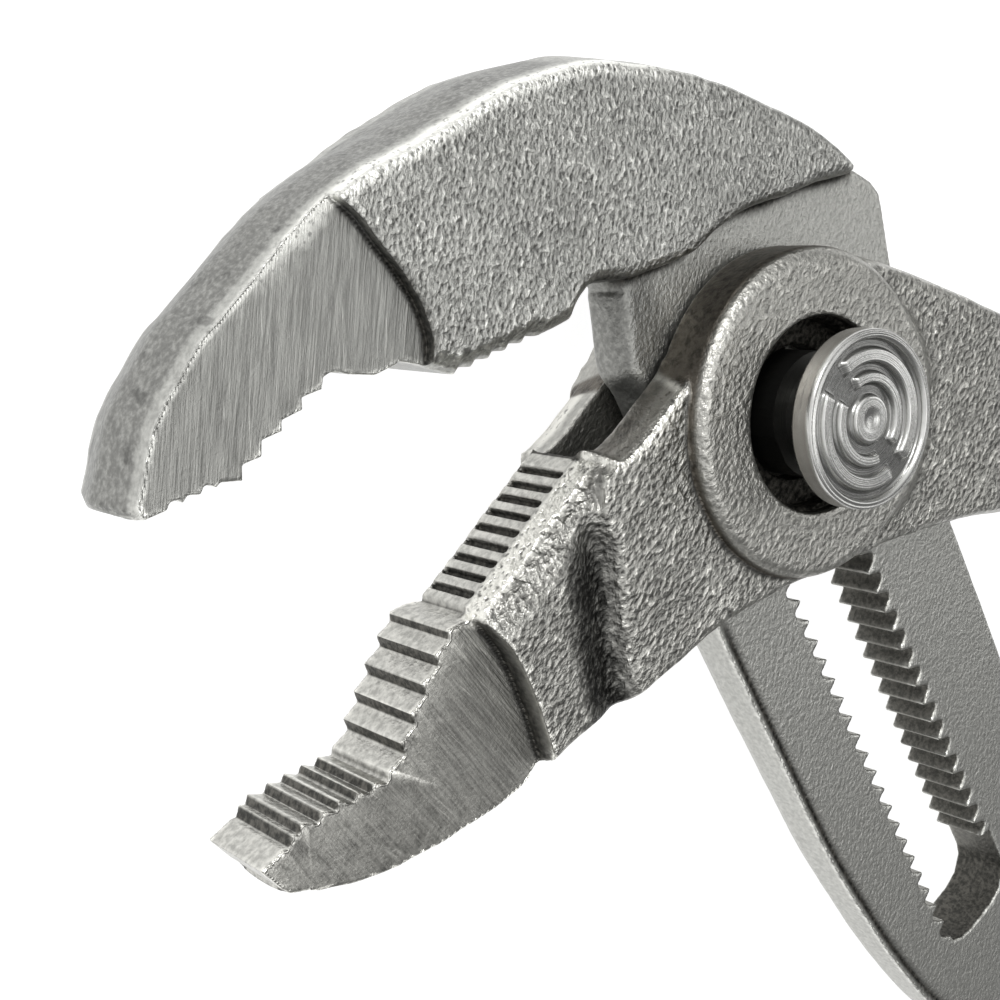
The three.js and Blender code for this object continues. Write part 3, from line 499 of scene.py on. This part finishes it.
def lower_lever():
    xs = axis((-47.4, -45.4, 0.3), (-45.4, -17.8, 0.17), (-17.8, 16, 0.22), (16, 30, 0.3), (30, 64, 0.7), (64, 190, 1.4))
    ys = axis((-29.6, -28.2, 0.25), (-28.2, -2.0, 0.18), (-2.0, 15.4, 0.22))
    za = axis((0.0, 1.8, 0.6), (1.8, 3.8, 0.2), (3.8, 4.4, 0.3), (4.4, 7.8, 0.2), (7.8, 8.2, 0.2))
    X, Y = np.meshgrid(xs, ys, indexing="ij")
    wob = 0.11 * noise2(X / 3.1, Y / 3.1, 13) + 0.06 * noise2(X / 1.1, Y / 1.1, 15)
    wob2 = 0.11 * noise2(X / 3.3, Y / 3.3, 17) + 0.06 * noise2(X / 1.2, Y / 1.2, 19)
    Xw, Yw = X + wob, Y + wob2
    dO, dJ = sdpoly(outer, Xw, Yw), sdpoly(jawZone, Xw, Yw)
    dM, dT = sdpoly(gripCut, X + 0.3 * wob, Y + 0.3 * wob2), sdpoly(lowTip, X + 0.4 * wob, Y + 0.4 * wob2)
    dE = sdpoly(gripLine, X + 0.6 * wob, Y + 0.6 * wob2)
    dB, dG = sdpoly(box, X, Y), sdpoly(ribbon(lowerTang), X, Y)
    dV, _ = sdline(valleyLine, Xw, Yw)
    A = za[None, None, :]
    e3 = lambda v: v[:, :, None]
    swell = 0.07 * noise2(X / 6.0, Y / 6.0, 21) + 0.04 * noise2(X / 2.2, Y / 2.2, 23)
    # face heights: cheeks, lower jaw, the valley between them, the handle thinning
    h = 5.9 + 0.3 * step(-0.9, 0.9, dJ)
    valley = np.where(dJ < 0, np.exp(-(dV / 2.0) ** 2), np.exp(-(dV / 0.85) ** 2))
    h = h - 1.15 * valley * step(-4.0, -8.0, Y)
    h = np.minimum(h, 6.5 - (X - 34) * (2.4 / 26)) + swell
    lean = 1.1 - 0.5 * step(-9, -12, X) * step(-8, -4, Y)
    f = smax(e3(dO) + e3(lean) * (A / 6.3) ** 2.3, A - e3(h), 0.6)
    # bevel beside the rear teeth
    into = (X + 20.34) * 0.7033 - (Y + 3.14) * 0.7109
    keep = 6 * step(-20.0, -18.4, X)
    fac = (A - 4.4 - 0.8 * e3(np.maximum(into, -0.4) - 0.35) - e3(keep)) / 1.28
    f = smax(f, np.where(e3(X < -17.5), fac, -9.0), 0.4)
    # ring boss
    r = np.hypot(X, Y)
    fr = smax(smax(e3(r) - 12.3, A - 7.5 + 0 * e3(r), 0.1), ((e3(r) - 12.3) * 0.8 + (A - 6.75) * 0.7) / 1.063, 0.3)
    ang = np.degrees(np.arctan2(Y, X)) % 360
    soft = 0.3 + 2.6 * (step(300, 340, ang) + step(50, 20, ang))
    f = np.maximum(smin(f, fr, e3(soft)), A - 7.5)
    # ground tip
    cut = smax(e3(dT), 3.6 - A + 0 * e3(dT), 0.3)
    f = smax(f, -cut, 0.12)
    # gripping edge: the rear grooves stay within the middle of the jaw
    back = e3(step(-29.8, -28.6, X))
    teethcut = np.where(back > 0, smax(e3(dM), (A - 2.5) * back, 0.3), e3(dM))
    edge = e3(dE) - 0.18 * np.maximum(A - 2.5, 0) * back
    f = smax(f, -np.minimum(edge, teethcut), 0.13)
    # box for the arm
    f = smax(f, -smax(e3(dB), A - 2.95 + 0 * e3(dB), e3(0.2 + 1.0 * step(-16.5, -18.0, X) * step(-5, -3.5, Y))), 0.25)
    # handle tang
    fg = smax(e3(dG) + 0.7 * (A / 3.9) ** 2, A - 3.9 + 0 * e3(dG), 0.6)
    fg = np.maximum(fg, -e3(dB))
    f = smin(f, fg, 0.8)
    f = np.broadcast_to(f, (len(xs), len(ys), len(za))).astype(f32)
    F = np.concatenate([f[:, :, :0:-1], f], 2)
    zs = np.concatenate([-za[:0:-1], za]).astype(f32)
    Z = zs[None, None, :]
    r3 = e3(r)
    # behind, the ring boss and the cheek's upper edge are set in a little
    inset = step(-3.5, -7.0, X) * step(-4.6, -3.0, Y)
    side = e3(np.where(inset > 0, dO, -9.0)) + e3(inset) * (0.9 + 0.6 * (np.maximum(-Z, 0) / 6.3) ** 2.3)
    F = np.where(Z < -2.6, smax(F, side, 0.2), F)
    # behind the rear teeth the jaw slants away
    slant = e3(dE + 30 * (1 - step(-29.4, -28.8, X) * step(-16.6, -17.6, X))) - 1.1 * np.maximum(-Z - 2.4, 0)
    F = smax(F, -slant, 0.1).astype(f32)
    # counterbore round the button, bore of the neck, bore and ring groove behind
    F = smax(F, -smax(r3 - 7.28, 6.3 - Z, 0.15), 0.3)
    F = smax(F, -np.maximum(r3 - 6.95, 4.8 - Z), 0.15)
    F = smax(F, -np.maximum(r3 - 5.0, -Z), 0.2)
    F = smax(F, -np.maximum(r3 - 7.2, Z), 0.2)
    F = np.maximum(F, -np.maximum(r3 - 7.8, np.abs(Z + 6.9) - 0.35)).astype(f32)
    v, q = skin(F, xs, ys, zs)
    ob = mesh_object("lower_jaw_forging", v, q, 190000)
    P, N = points_of(ob)
    X, Y, A = P[:, 0], P[:, 1], np.abs(P[:, 2])
    dM, dT, dJ, dB = (sdpoly(o, X, Y) for o in (gripCut, lowTip, jawZone, box))
    flat = step(0.75, 0.93, np.abs(N[:, 2]))
    r = np.hypot(X, Y)
    k = bend(ob)
    dV, _ = sdline(valleyLine, X, Y)
    upright = 1 - step(0.35, 0.75, np.abs(N[:, 2]))
    cut = step(0.5, 0.2, np.abs(dM))
    down = -0.71 * N[:, 0] - 0.70 * N[:, 1]
    into = (X + 20.34) * 0.7033 - (Y + 3.14) * 0.7109
    bevel = step(-0.7, -0.4, into) * step(1.35, 0.7, into) * step(2.5, 2.8, A) * step(4.75, 4.35, A) * step(-29.6, -29.0, X) * step(-18.6, -19.4, X)
    rim, _ = sdline(cheekTop, X, Y)
    # painted shade: near-black on the teeth's undercut faces, along the step round the ground tip, in the rear grooves,
    # inside the counterbore and inside the box
    dark = np.maximum.reduce([
        0.9 * np.where(X < -35.6, step(0.45, 0.75, -N[:, 0]), np.where(X > -29.4, 0.4, 1.0) * step(0.38, 0.72, down)) * cut * (1 - flat) * (A < 3.7) * (X < -19.6) * (X > -42.9) * (1 - bevel),
        0.8 * step(0.35, 0.05, np.abs(dT)) * step(3.45, 3.8, A) * step(5.5, 4.9, A) * (X < -23),
        0.8 * step(0.12, 0.35, into) * step(0.9, 0.75, into) * step(2.6, 2.4, A) * step(0.4, 0.15, np.abs(dM)) * (X < -19.6) * (X > -28.9),
        1.0 * step(7.45, 7.3, r) * step(7.3, 7.0, A),
        0.9 * step(3.1, 2.8, A) * (dB < 0.3)])
    ragged = dV + 0.35 * noise2(X / 0.9, Y / 0.9, 27)
    shadow = np.where(dJ < 0, step(4.4, 2.2, ragged), np.exp(-(ragged / 1.0) ** 2)) * step(-5.0, -10.0, Y) * (A > 3.8) * (X < -14)
    facet = step(0.2, 0.5, into) * step(2.3, 1.6, into) * step(4.3, 4.6, A) * step(6.0, 5.6, A) * step(-29.6, -29.0, X) * step(-18.6, -19.4, X)
    shadow = np.maximum(shadow, 0.38 * facet)
    # the masks for the bore walls, the ring wall, the near-black bands, the shadow and the hollows carry painted shade;
    # the bevel band and the convex edges carry painted highlight besides bare steel
    paint(ob,
          ground=flat * step(0.05, -0.25, dT) * step(3.95, 3.75, A),
          tooth=step(0.35, 0.12, np.abs(dM)) * (1 - flat) * (X < -19.0) * (1 - bevel),
          plate=np.maximum(step(3.2, 2.9, A) * (dB < 0.3), 0.55 * step(12.4, 11.9, r)),
          wallm=upright * step(0.3, 0.8, np.abs(dM)),
          slotw=step(8.3, 7.6, r) * (1 - flat), dark=dark,
          ringw=step(11.7, 12.0, r) * step(13.0, 12.7, r) * step(7.1, 6.6, A) * upright + 0.7 * step(0.9, 0.5, rim) * step(13.0, 13.3, r) * step(6.2, 5.6, A) * upright,
          burr=np.maximum(bevel, step(1.7, 1.0, rim) * step(4.0, 5.0, A) * (r > 12.8)), shadow=shadow,
          jaw=step(0.6, -0.6, dJ),
          ringf=step(13.4, 12.6, r),
          wear=step(0.35, 1.6, k), cav=step(0.2, 1.1, -k))
    return ob


# ------------------------------------------------------------------ materials
class Mat:
    def __init__(self, name):
        self.mat = bpy.data.materials.new(name)
        self.mat.use_nodes = True
        self.t = self.mat.node_tree
        self.t.nodes.clear()
        self.out = self.t.nodes.new("ShaderNodeOutputMaterial")
        self.b = self.t.nodes.new("ShaderNodeBsdfPrincipled")
        self.t.links.new(self.b.outputs[0], self.out.inputs[0])
        tc = self.t.nodes.new("ShaderNodeTexCoord")
        self.pos = tc.outputs["Object"]

    def put(self, v, sock):
        if isinstance(v, bpy.types.NodeSocket):
            self.t.links.new(v, sock)
        elif isinstance(v, (tuple, list)) and len(v) == 3 and sock.type == "RGBA":
            sock.default_value = (*v, 1)
        else:
            sock.default_value = v

    def node(self, kind, out=0, props=None, **ins):
        n = self.t.nodes.new(kind)
        for k, v in (props or {}).items():
            setattr(n, k, v)
        for k, v in ins.items():
            key = int(k[1:]) if k[0] == "i" and k[1:].isdigit() else k.replace("_", " ")
            self.put(v, n.inputs[key])
        return n.outputs[out]

    def attr(self, name):
        n = self.t.nodes.new("ShaderNodeAttribute")
        n.attribute_name = name
        return n.outputs["Fac"]

    def noise(self, scale, detail=2.0, rough=0.5, vec=None, out=0):
        return self.node("ShaderNodeTexNoise", out, Vector=vec or self.pos, Scale=scale, Detail=detail, Roughness=rough)

    def cells(self, scale, vec=None, feature="F1"):
        return self.node("ShaderNodeTexVoronoi", 0, {"feature": feature}, Vector=vec or self.pos, Scale=scale)

    def math(self, op, a, b=0.0, clamp=False):
        return self.node("ShaderNodeMath", 0, {"operation": op, "use_clamp": clamp}, i0=a, i1=b)

    def mul(self, a, b):
        return self.math("MULTIPLY", a, b)

    def add(self, a, b):
        return self.math("ADD", a, b)

    def remap(self, v, a, b, c=0.0, d=1.0):
        return self.node("ShaderNodeMapRange", 0, {"clamp": True}, i0=v, i1=a, i2=b, i3=c, i4=d)

    def mix(self, f, a, b):
        n = self.t.nodes.new("ShaderNodeMix")
        n.data_type = "FLOAT"
        self.put(f, n.inputs[0])
        self.put(a, n.inputs[2])
        self.put(b, n.inputs[3])
        return n.outputs[0]

    def mixc(self, f, a, b, blend="MIX"):
        n = self.t.nodes.new("ShaderNodeMix")
        n.data_type = "RGBA"
        n.blend_type = blend
        self.put(f, n.inputs[0])
        self.put(a, n.inputs[6])
        self.put(b, n.inputs[7])
        return n.outputs[2]

    def turned(self, angle, scale):
        """Coordinates for streaks that run at an angle in plan: scale along them, across them and upwards."""
        return self.node("ShaderNodeMapping", 0, {"vector_type": "TEXTURE"}, Vector=self.pos,
                         Rotation=(0, 0, math.radians(angle)), Scale=tuple(1.0 / v for v in scale))

    def bump(self, height, strength, distance, normal=None):
        n = self.t.nodes.new("ShaderNodeBump")
        n.inputs["Strength"].default_value = strength
        n.inputs["Distance"].default_value = distance
        self.put(height, n.inputs["Height"])
        if normal is not None:
            self.put(normal, n.inputs["Normal"])
        return n.outputs[0]

    def finish(self, color, rough, normal=None, metallic=1.0):
        self.put(color, self.b.inputs["Base Color"])
        self.put(rough, self.b.inputs["Roughness"])
        self.b.inputs["Metallic"].default_value = metallic
        if normal is not None:
            self.put(normal, self.b.inputs["Normal"])
        return self.mat


def forged(name, coarse, tint, grind_deg, grain_deg, speck, depth):
    """Shot-blasted forged steel with ground tips, cut teeth and bare edges, by the masks on the mesh; painted shade in
    creases, hollows and slots, painted highlights along edges.
    """
    m = Mat(name)
    ground, tooth, plate, wall, slotw, wear, cav, dark, ringw, burr, shadow = (
        m.attr(a) for a in ("ground", "tooth", "plate", "wallm", "slotw", "wear", "cav", "dark", "ringw", "burr", "shadow"))
    shade = lambda k: tuple(min(1.0, k * c) for c in tint)
    drawn = m.turned(grain_deg, (2050 * coarse, 2650 * coarse, 2400 * coarse))
    grain = m.noise(1.0, 2.5, 0.6, vec=drawn)
    pits = m.cells(1.0, vec=m.turned(grain_deg, (2250 * coarse, 2850 * coarse, 2600 * coarse)), feature="SMOOTH_F1")
    big = m.noise(420 * coarse, 2.0, 0.5)
    mottle = m.noise(140, 3.0, 0.6)
    fine = m.noise(4200, 2.0, 0.6)
    # grinding marks run across the jaw tips
    scratch = m.noise(1.0, 3.0, 0.65, vec=m.turned(grind_deg, (300, 5200, 300)))
    scratch2 = m.noise(1.0, 2.0, 0.5, vec=m.turned(grind_deg + 6, (170, 3600, 170)))
    height = m.add(m.mul(grain, 1.0), m.add(m.mul(pits, 0.6), m.mul(big, 0.55)))
    height = m.mix(plate, height, m.add(m.mul(grain, 0.6), m.mul(fine, 0.16)))
    height = m.mix(wall, height, m.add(m.mul(grain, 0.26), m.mul(fine, 0.2)))
    height = m.mix(ground, height, m.add(m.mul(scratch, 0.26), m.mul(fine, 0.1)))
    height = m.mix(tooth, height, m.add(m.mul(grain, 0.3), m.mul(fine, 0.2)))
    normal = m.bump(height, 1.0, depth)
    base = m.mixc(m.remap(mottle, 0.3, 0.7), shade(0.86), shade(1.1))
    pit = m.remap(m.add(m.mul(grain, 0.6), m.mul(pits, 0.4)), 0.28, 0.5)
    base = m.mixc(m.mul(m.math("SUBTRACT", 1.0, pit), 0.75), base, shade(0.22))
    bare = m.remap(m.add(m.mul(grain, 0.6), m.mul(pits, 0.5)), 0.60, 0.72)
    base = m.mixc(m.mul(bare, speck), base, shade(2.0))
    base = m.mixc(plate, base, m.mixc(m.remap(m.add(m.mul(fine, 0.5), m.mul(grain, 0.5)), 0.35, 0.65), shade(0.86), shade(1.2)))
    side = m.mixc(m.remap(grain, 0.3, 0.7), shade(0.68), shade(1.06))
    side = m.mixc(m.remap(m.noise(520, 3.0, 0.6), 0.60, 0.68, 0.0, 0.6), side, shade(0.3))
    side = m.mixc(plate, side, m.mixc(m.remap(grain, 0.3, 0.7), shade(0.82), shade(1.18)))
    base = m.mixc(wall, base, side)
    gr = m.mixc(m.remap(scratch, 0.38, 0.66), shade(0.54), shade(0.9))
    gr = m.mixc(m.remap(scratch2, 0.66, 0.74, 0.0, 0.7), gr, shade(1.5))
    base = m.mixc(ground, base, gr)
    base = m.mixc(tooth, base, m.mixc(m.remap(grain, 0.35, 0.65), shade(0.75), shade(1.3)))
    # painted shade on the slot's walls and the bore's walls
    base = m.mixc(m.mul(slotw, 0.5), base, (0.16, 0.15, 0.125))
    # painted shade in the hollows and creases, from how concave the mesh is there
    base = m.mixc(m.mul(cav, 0.85), base, shade(0.10))
    torn = m.remap(m.noise(1400, 3.0, 0.65), 0.36, 0.56)
    # convex edges turn bright: worn bare steel, and a painted highlight along the edges
    edge = m.mul(wear, torn)
    base = m.mixc(m.mul(edge, 0.9), base, shade(2.0))
    # bright band along the spine's front edge, the cheek's upper edge and the bevel by the rear teeth: trimmed flash
    # and bare bevel, with a painted highlight
    rag = m.mul(burr, m.remap(m.add(m.mul(grain, 0.6), m.mul(pits, 0.4)), 0.30, 0.42))
    base = m.mixc(m.mul(rag, 0.92), base, shade(2.1))
    # painted shade, brownish near-black, on the ring boss's side wall and the cheek's upper wall
    base = m.mixc(m.mul(ringw, 0.9), base, m.mixc(torn, (0.035, 0.028, 0.02), (0.12, 0.105, 0.085)))
    base = m.mixc(m.mul(shadow, 0.97), base, m.mixc(m.remap(grain, 0.45, 0.7), shade(0.04), shade(0.36)))
    # painted shade: near-black where the painted-shade mask is set
    base = m.mixc(dark, base, m.mixc(m.remap(grain, 0.4, 0.62), (0.014, 0.014, 0.012), (0.085, 0.08, 0.07)))
    rough = m.add(0.27, m.mul(grain, 0.14))
    rough = m.mix(ground, rough, m.add(0.34, m.mul(scratch, 0.16)))
    rough = m.mix(wall, rough, 0.42)
    rough = m.mix(plate, rough, 0.44)
    rough = m.mix(m.mul(edge, 0.8), rough, 0.24)
    rough = m.mix(m.math("MAXIMUM", cav, dark), rough, 0.6)
    return m.finish(base, rough, normal)


def bright_steel(name, tint, rough0, grooves=False):
    m = Mat(name)
    fine = m.noise(4200, 2.0, 0.6)
    ringx = m.node("ShaderNodeVectorMath", 1, {"operation": "LENGTH"}, i0=m.node("ShaderNodeVectorMath", 0, {"operation": "MULTIPLY"}, i0=m.node(
        "ShaderNodeVectorMath", 0, {"operation": "SUBTRACT"}, i0=m.pos, i1=(PX / 1000, PY / 1000, 0)), i1=(1, 1, 0)))
    turn = m.node("ShaderNodeTexNoise", 0, {"noise_dimensions": "1D"}, W=m.mul(ringx, 9000.0), Scale=1.0, Detail=3.0)
    mottle = m.noise(600, 3.0, 0.6)
    h = m.add(m.mul(turn, 0.5), m.mul(fine, 0.4))
    base = m.mixc(m.remap(mottle, 0.3, 0.7), tuple(0.85 * c for c in tint), tuple(1.06 * c for c in tint))
    base = m.mixc(m.remap(turn, 0.35, 0.65, 0.0, 0.4), base, tuple(0.65 * c for c in tint))
    # the sunk surfaces between the raised rings are made darker, and painted shade darkens the cap's outer wall
    if grooves:
        base = m.mixc(m.mul(m.attr("low"), m.remap(mottle, 0.2, 0.6, 0.6, 0.95)), base, tuple(0.3 * c for c in tint))
        base = m.mixc(m.mul(m.attr("side"), 0.55), base, (0.20, 0.17, 0.15))
    rough = m.add(rough0, m.mul(turn, 0.12))
    return m.finish(base, rough, m.bump(h, 0.6, 0.00004))


def vinyl(name, tint):
    m = Mat(name)
    grain = m.cells(1500, feature="SMOOTH_F1")
    fine = m.noise(3200, 3.0, 0.6)
    mottle = m.noise(60, 3.0, 0.6)
    base = m.mixc(m.remap(mottle, 0.3, 0.7), tuple(0.85 * c for c in tint), tuple(1.2 * c for c in tint))
    base = m.mixc(m.remap(grain, 0.1, 0.5, 0.4, 0.0), base, tuple(0.6 * c for c in tint))
    rough = m.add(0.46, m.mul(fine, 0.14))
    h = m.add(m.mul(grain, 0.8), m.mul(fine, 0.3))
    return m.finish(base, rough, m.bump(h, 0.5, 0.00012), metallic=0.0)


UPPER_TINT = (0.47, 0.47, 0.445)
LOWER_TINT = (0.47, 0.465, 0.435)
mat_upper = forged("forged_upper", 1.15, UPPER_TINT, 84, 80, 0.8, 0.00018)
mat_lower = forged("forged_lower", 0.95, LOWER_TINT, -50, 50, 0.95, 0.00025)
mat_bright = bright_steel("turned_button", (0.66, 0.66, 0.64), 0.2, True)
# near-black steel for the pivot bolt and the rear cap: painted shade for the inside of the bore round the button
mat_inner = bright_steel("turned_inner", (0.10, 0.10, 0.095), 0.35)
mat_spring = bright_steel("spring_wire", (0.48, 0.48, 0.47), 0.3)
mat_grip = vinyl("grip_vinyl", (0.045, 0.048, 0.052))


def wear_material(ob, mat):
    ob.data.materials.clear()
    ob.data.materials.append(mat)


upper = upper_lever()
wear_material(upper, mat_upper)
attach(upper, "inner_lever")
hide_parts("upper_jaw_lever")

lower = lower_lever()
wear_material(lower, mat_lower)
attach(lower, "outer_lever")
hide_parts("lower_jaw_lever")



def button():
    """Turned cap: double rim, two raised rings each broken in two places, a boss with a dimple."""
    lo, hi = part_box("push_button_cap")
    top = hi.z * 1000 - MID
    n = 192
    rs = np.concatenate([np.linspace(0.25, 5.7, 74), [5.76, 5.84, 5.92, 6.0, 6.08, 6.14, 6.19, 6.25, 6.32, 6.4, 6.46, 6.49]])
    th = np.arange(n) * 2 * math.pi / n
    R, T = np.meshgrid(rs, th, indexing="ij")
    deg = np.degrees(T) % 360
    gap = lambda c, w: step(w, w - 5, np.abs((deg - c + 180) % 360 - 180))
    land = lambda a, b: step(a - 0.12, a + 0.1, R) * step(b + 0.12, b - 0.1, R)
    up = np.maximum.reduce([land(4.1, 5.1) * (1 - gap(141, 17)) * (1 - gap(-48, 13)), land(2.62, 3.42) * (1 - gap(138, 20)) * (1 - gap(-52, 20)), step(1.85, 1.65, R)])
    H = top - 0.55 + 0.45 * up - 0.16 * step(1.0, 0.2, R)
    rim = np.interp(R, [5.7, 5.84, 6.0, 6.08, 6.16, 6.25, 6.36, 6.44, 6.49], [0.0, 0.46, 0.55, 0.53, 0.46, 0.46, 0.5, 0.42, 0.25])
    H = np.where(R > 5.7, top - 0.55 + rim, H)
    rings = [np.stack([R[i] * np.cos(th), R[i] * np.sin(th), H[i]], 1) for i in range(len(rs))]
    under = lo.z * 1000 - MID
    for r, z in ((6.49, top - 0.6), (6.46, top - 1.0), (6.46, top - 1.1), (6.49, top - 1.5), (6.46, under + 0.12), (6.35, under), (2.4, under), (0.25, under)):
        rings.append(np.stack([r * np.cos(th), r * np.sin(th), np.full(n, z)], 1))
    verts = [(0.0, 0.0, H[0].mean())] + [tuple(q) for ring in rings for q in ring] + [(0.0, 0.0, under)]
    k = np.arange(n)
    faces = [(0, 1 + a, 1 + (a + 1) % n) for a in k]
    for i in range(len(rings) - 1):
        faces += [(1 + i * n + a, 1 + (i + 1) * n + a, 1 + (i + 1) * n + (a + 1) % n, 1 + i * n + (a + 1) % n) for a in k]
    last, base = len(verts) - 1, 1 + (len(rings) - 1) * n
    faces += [(last, base + (a + 1) % n, base + a) for a in k]
    me = bpy.data.meshes.new("button_cap")
    me.from_pydata([((x + PX) / 1000, (y + PY) / 1000, (z + MID) / 1000) for x, y, z in verts], [], faces)
    me.update()
    me.polygons.foreach_set("use_smooth", np.ones(len(me.polygons), bool))
    ob = bpy.data.objects.new("button_cap", me)
    scene.collection.objects.link(ob)
    P, N = points_of(ob)
    r = np.hypot(P[:, 0], P[:, 1])
    # marks for the darker sunk surfaces and for painted shade on the cap's outer wall
    paint(ob, low=step(0.32, 0.5, top - P[:, 2]) * (r < 5.85), side=step(6.44, 6.47, r) * step(0.4, 0.6, top - P[:, 2]))
    return ob


cap = button()
wear_material(cap, mat_bright)
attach(cap, "push_button")
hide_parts("push_button_cap")

# the bolt and rear cap take the near-black steel that stands in for shade in the bore
for name, mat in (("pivot_bolt", mat_inner), ("rear_cap", mat_inner),
                  ("retaining_ring", mat_spring), ("lower_grip", mat_grip), ("upper_grip", mat_grip)):
    wear_material(nodes[name], mat)

# the return spring as its own object with its own copy of the mesh, on the pivot core's body
coil = bpy.data.objects.new("return_coil", nodes["return_spring"].data.copy())
scene.collection.objects.link(coil)
wear_material(coil, mat_spring)
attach(coil, "pivot_core")
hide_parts("return_spring")
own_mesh(coil)

# ------------------------------------------------------------------ stage
floor_me = bpy.data.meshes.new("floor")
S = 6.0
floor_me.from_pydata([(-S, -S, -0.0004), (S, -S, -0.0004), (S, S, -0.0004), (-S, S, -0.0004)], [], [(0, 1, 2, 3)])
floor = bpy.data.objects.new("floor", floor_me)
scene.collection.objects.link(floor)
fm = Mat("floor_paper")
fm.finish((0.25, 0.25, 0.25), fm.add(0.9, fm.mul(fm.noise(300, 2.0), 0.05)), None, metallic=0.0)
fm.b.inputs["Emission Color"].default_value = (1, 1, 1, 1)
fm.b.inputs["Emission Strength"].default_value = 0.93
floor_me.materials.append(fm.mat)

world = bpy.data.worlds.new("studio")
scene.world = world
world.use_nodes = True
wt = world.node_tree
bg = wt.nodes["Background"]
wc = wt.nodes.new("ShaderNodeTexCoord")
dot = wt.nodes.new("ShaderNodeVectorMath")
dot.operation = "DOT_PRODUCT"
dot.inputs[1].default_value = (-0.52, 0.36, 0.775)
wt.links.new(wc.outputs["Generated"], dot.inputs[0])
ramp = wt.nodes.new("ShaderNodeValToRGB")
ramp.color_ramp.interpolation = "EASE"
el = ramp.color_ramp.elements
el[0].position, el[0].color = 0.0, (0.17, 0.17, 0.17, 1)
el[1].position, el[1].color = 0.62, (1.0, 1.0, 1.0, 1)
mid = el.new(0.28)
mid.color = (0.31, 0.31, 0.305, 1)
wt.links.new(dot.outputs["Value"], ramp.inputs[0])
wt.links.new(ramp.outputs[0], bg.inputs[0])
bg.inputs[1].default_value = 1.0


def area(name, where, aim, size, power, size_y=None):
    li = bpy.data.lights.new(name, "AREA")
    li.shape = "RECTANGLE" if size_y else "SQUARE"
    li.size = size
    if size_y:
        li.size_y = size_y
    li.energy = power
    ob = bpy.data.objects.new(name, li)
    ob.location = where
    ob.rotation_euler = (Vector(aim) - Vector(where)).to_track_quat("-Z", "Y").to_euler()
    scene.collection.objects.link(ob)
    return ob


heart = (PX / 1000, PY / 1000, 0.01)
area("key", (heart[0] - 0.30, heart[1] + 0.34, 0.30), heart, 0.16, 1.2)
area("top", (heart[0] + 0.05, heart[1] - 0.05, 0.75), heart, 0.4, 0.6)
area("rim", (heart[0] + 0.45, heart[1] + 0.05, 0.30), heart, 0.2, 0.2)

# camera at the photograph's place
cam = bpy.data.cameras.new("camera")
cam.sensor_fit = "HORIZONTAL"
cam.sensor_width = 36.0
cam.lens = 57.69
cam.clip_start = 0.005
cam.clip_end = 50
camera = bpy.data.objects.new("camera", cam)
right, up, back = Vector((0.80047, 0, 0.59938)), Vector((0.08717, 0.98937, -0.11641)), Vector((-0.59301, 0.14543, 0.79195))
rot = Matrix((right, up, back)).transposed().to_4x4()
camera.matrix_world = Matrix.Translation(((PX - 89.2177) / 1000, (PY + 10.9186) / 1000, (79.7133 + 15) / 1000)) @ rot
scene.collection.objects.link(camera)
scene.camera = camera
scene.view_settings.view_transform = "Standard"
scene.view_settings.look = "None"
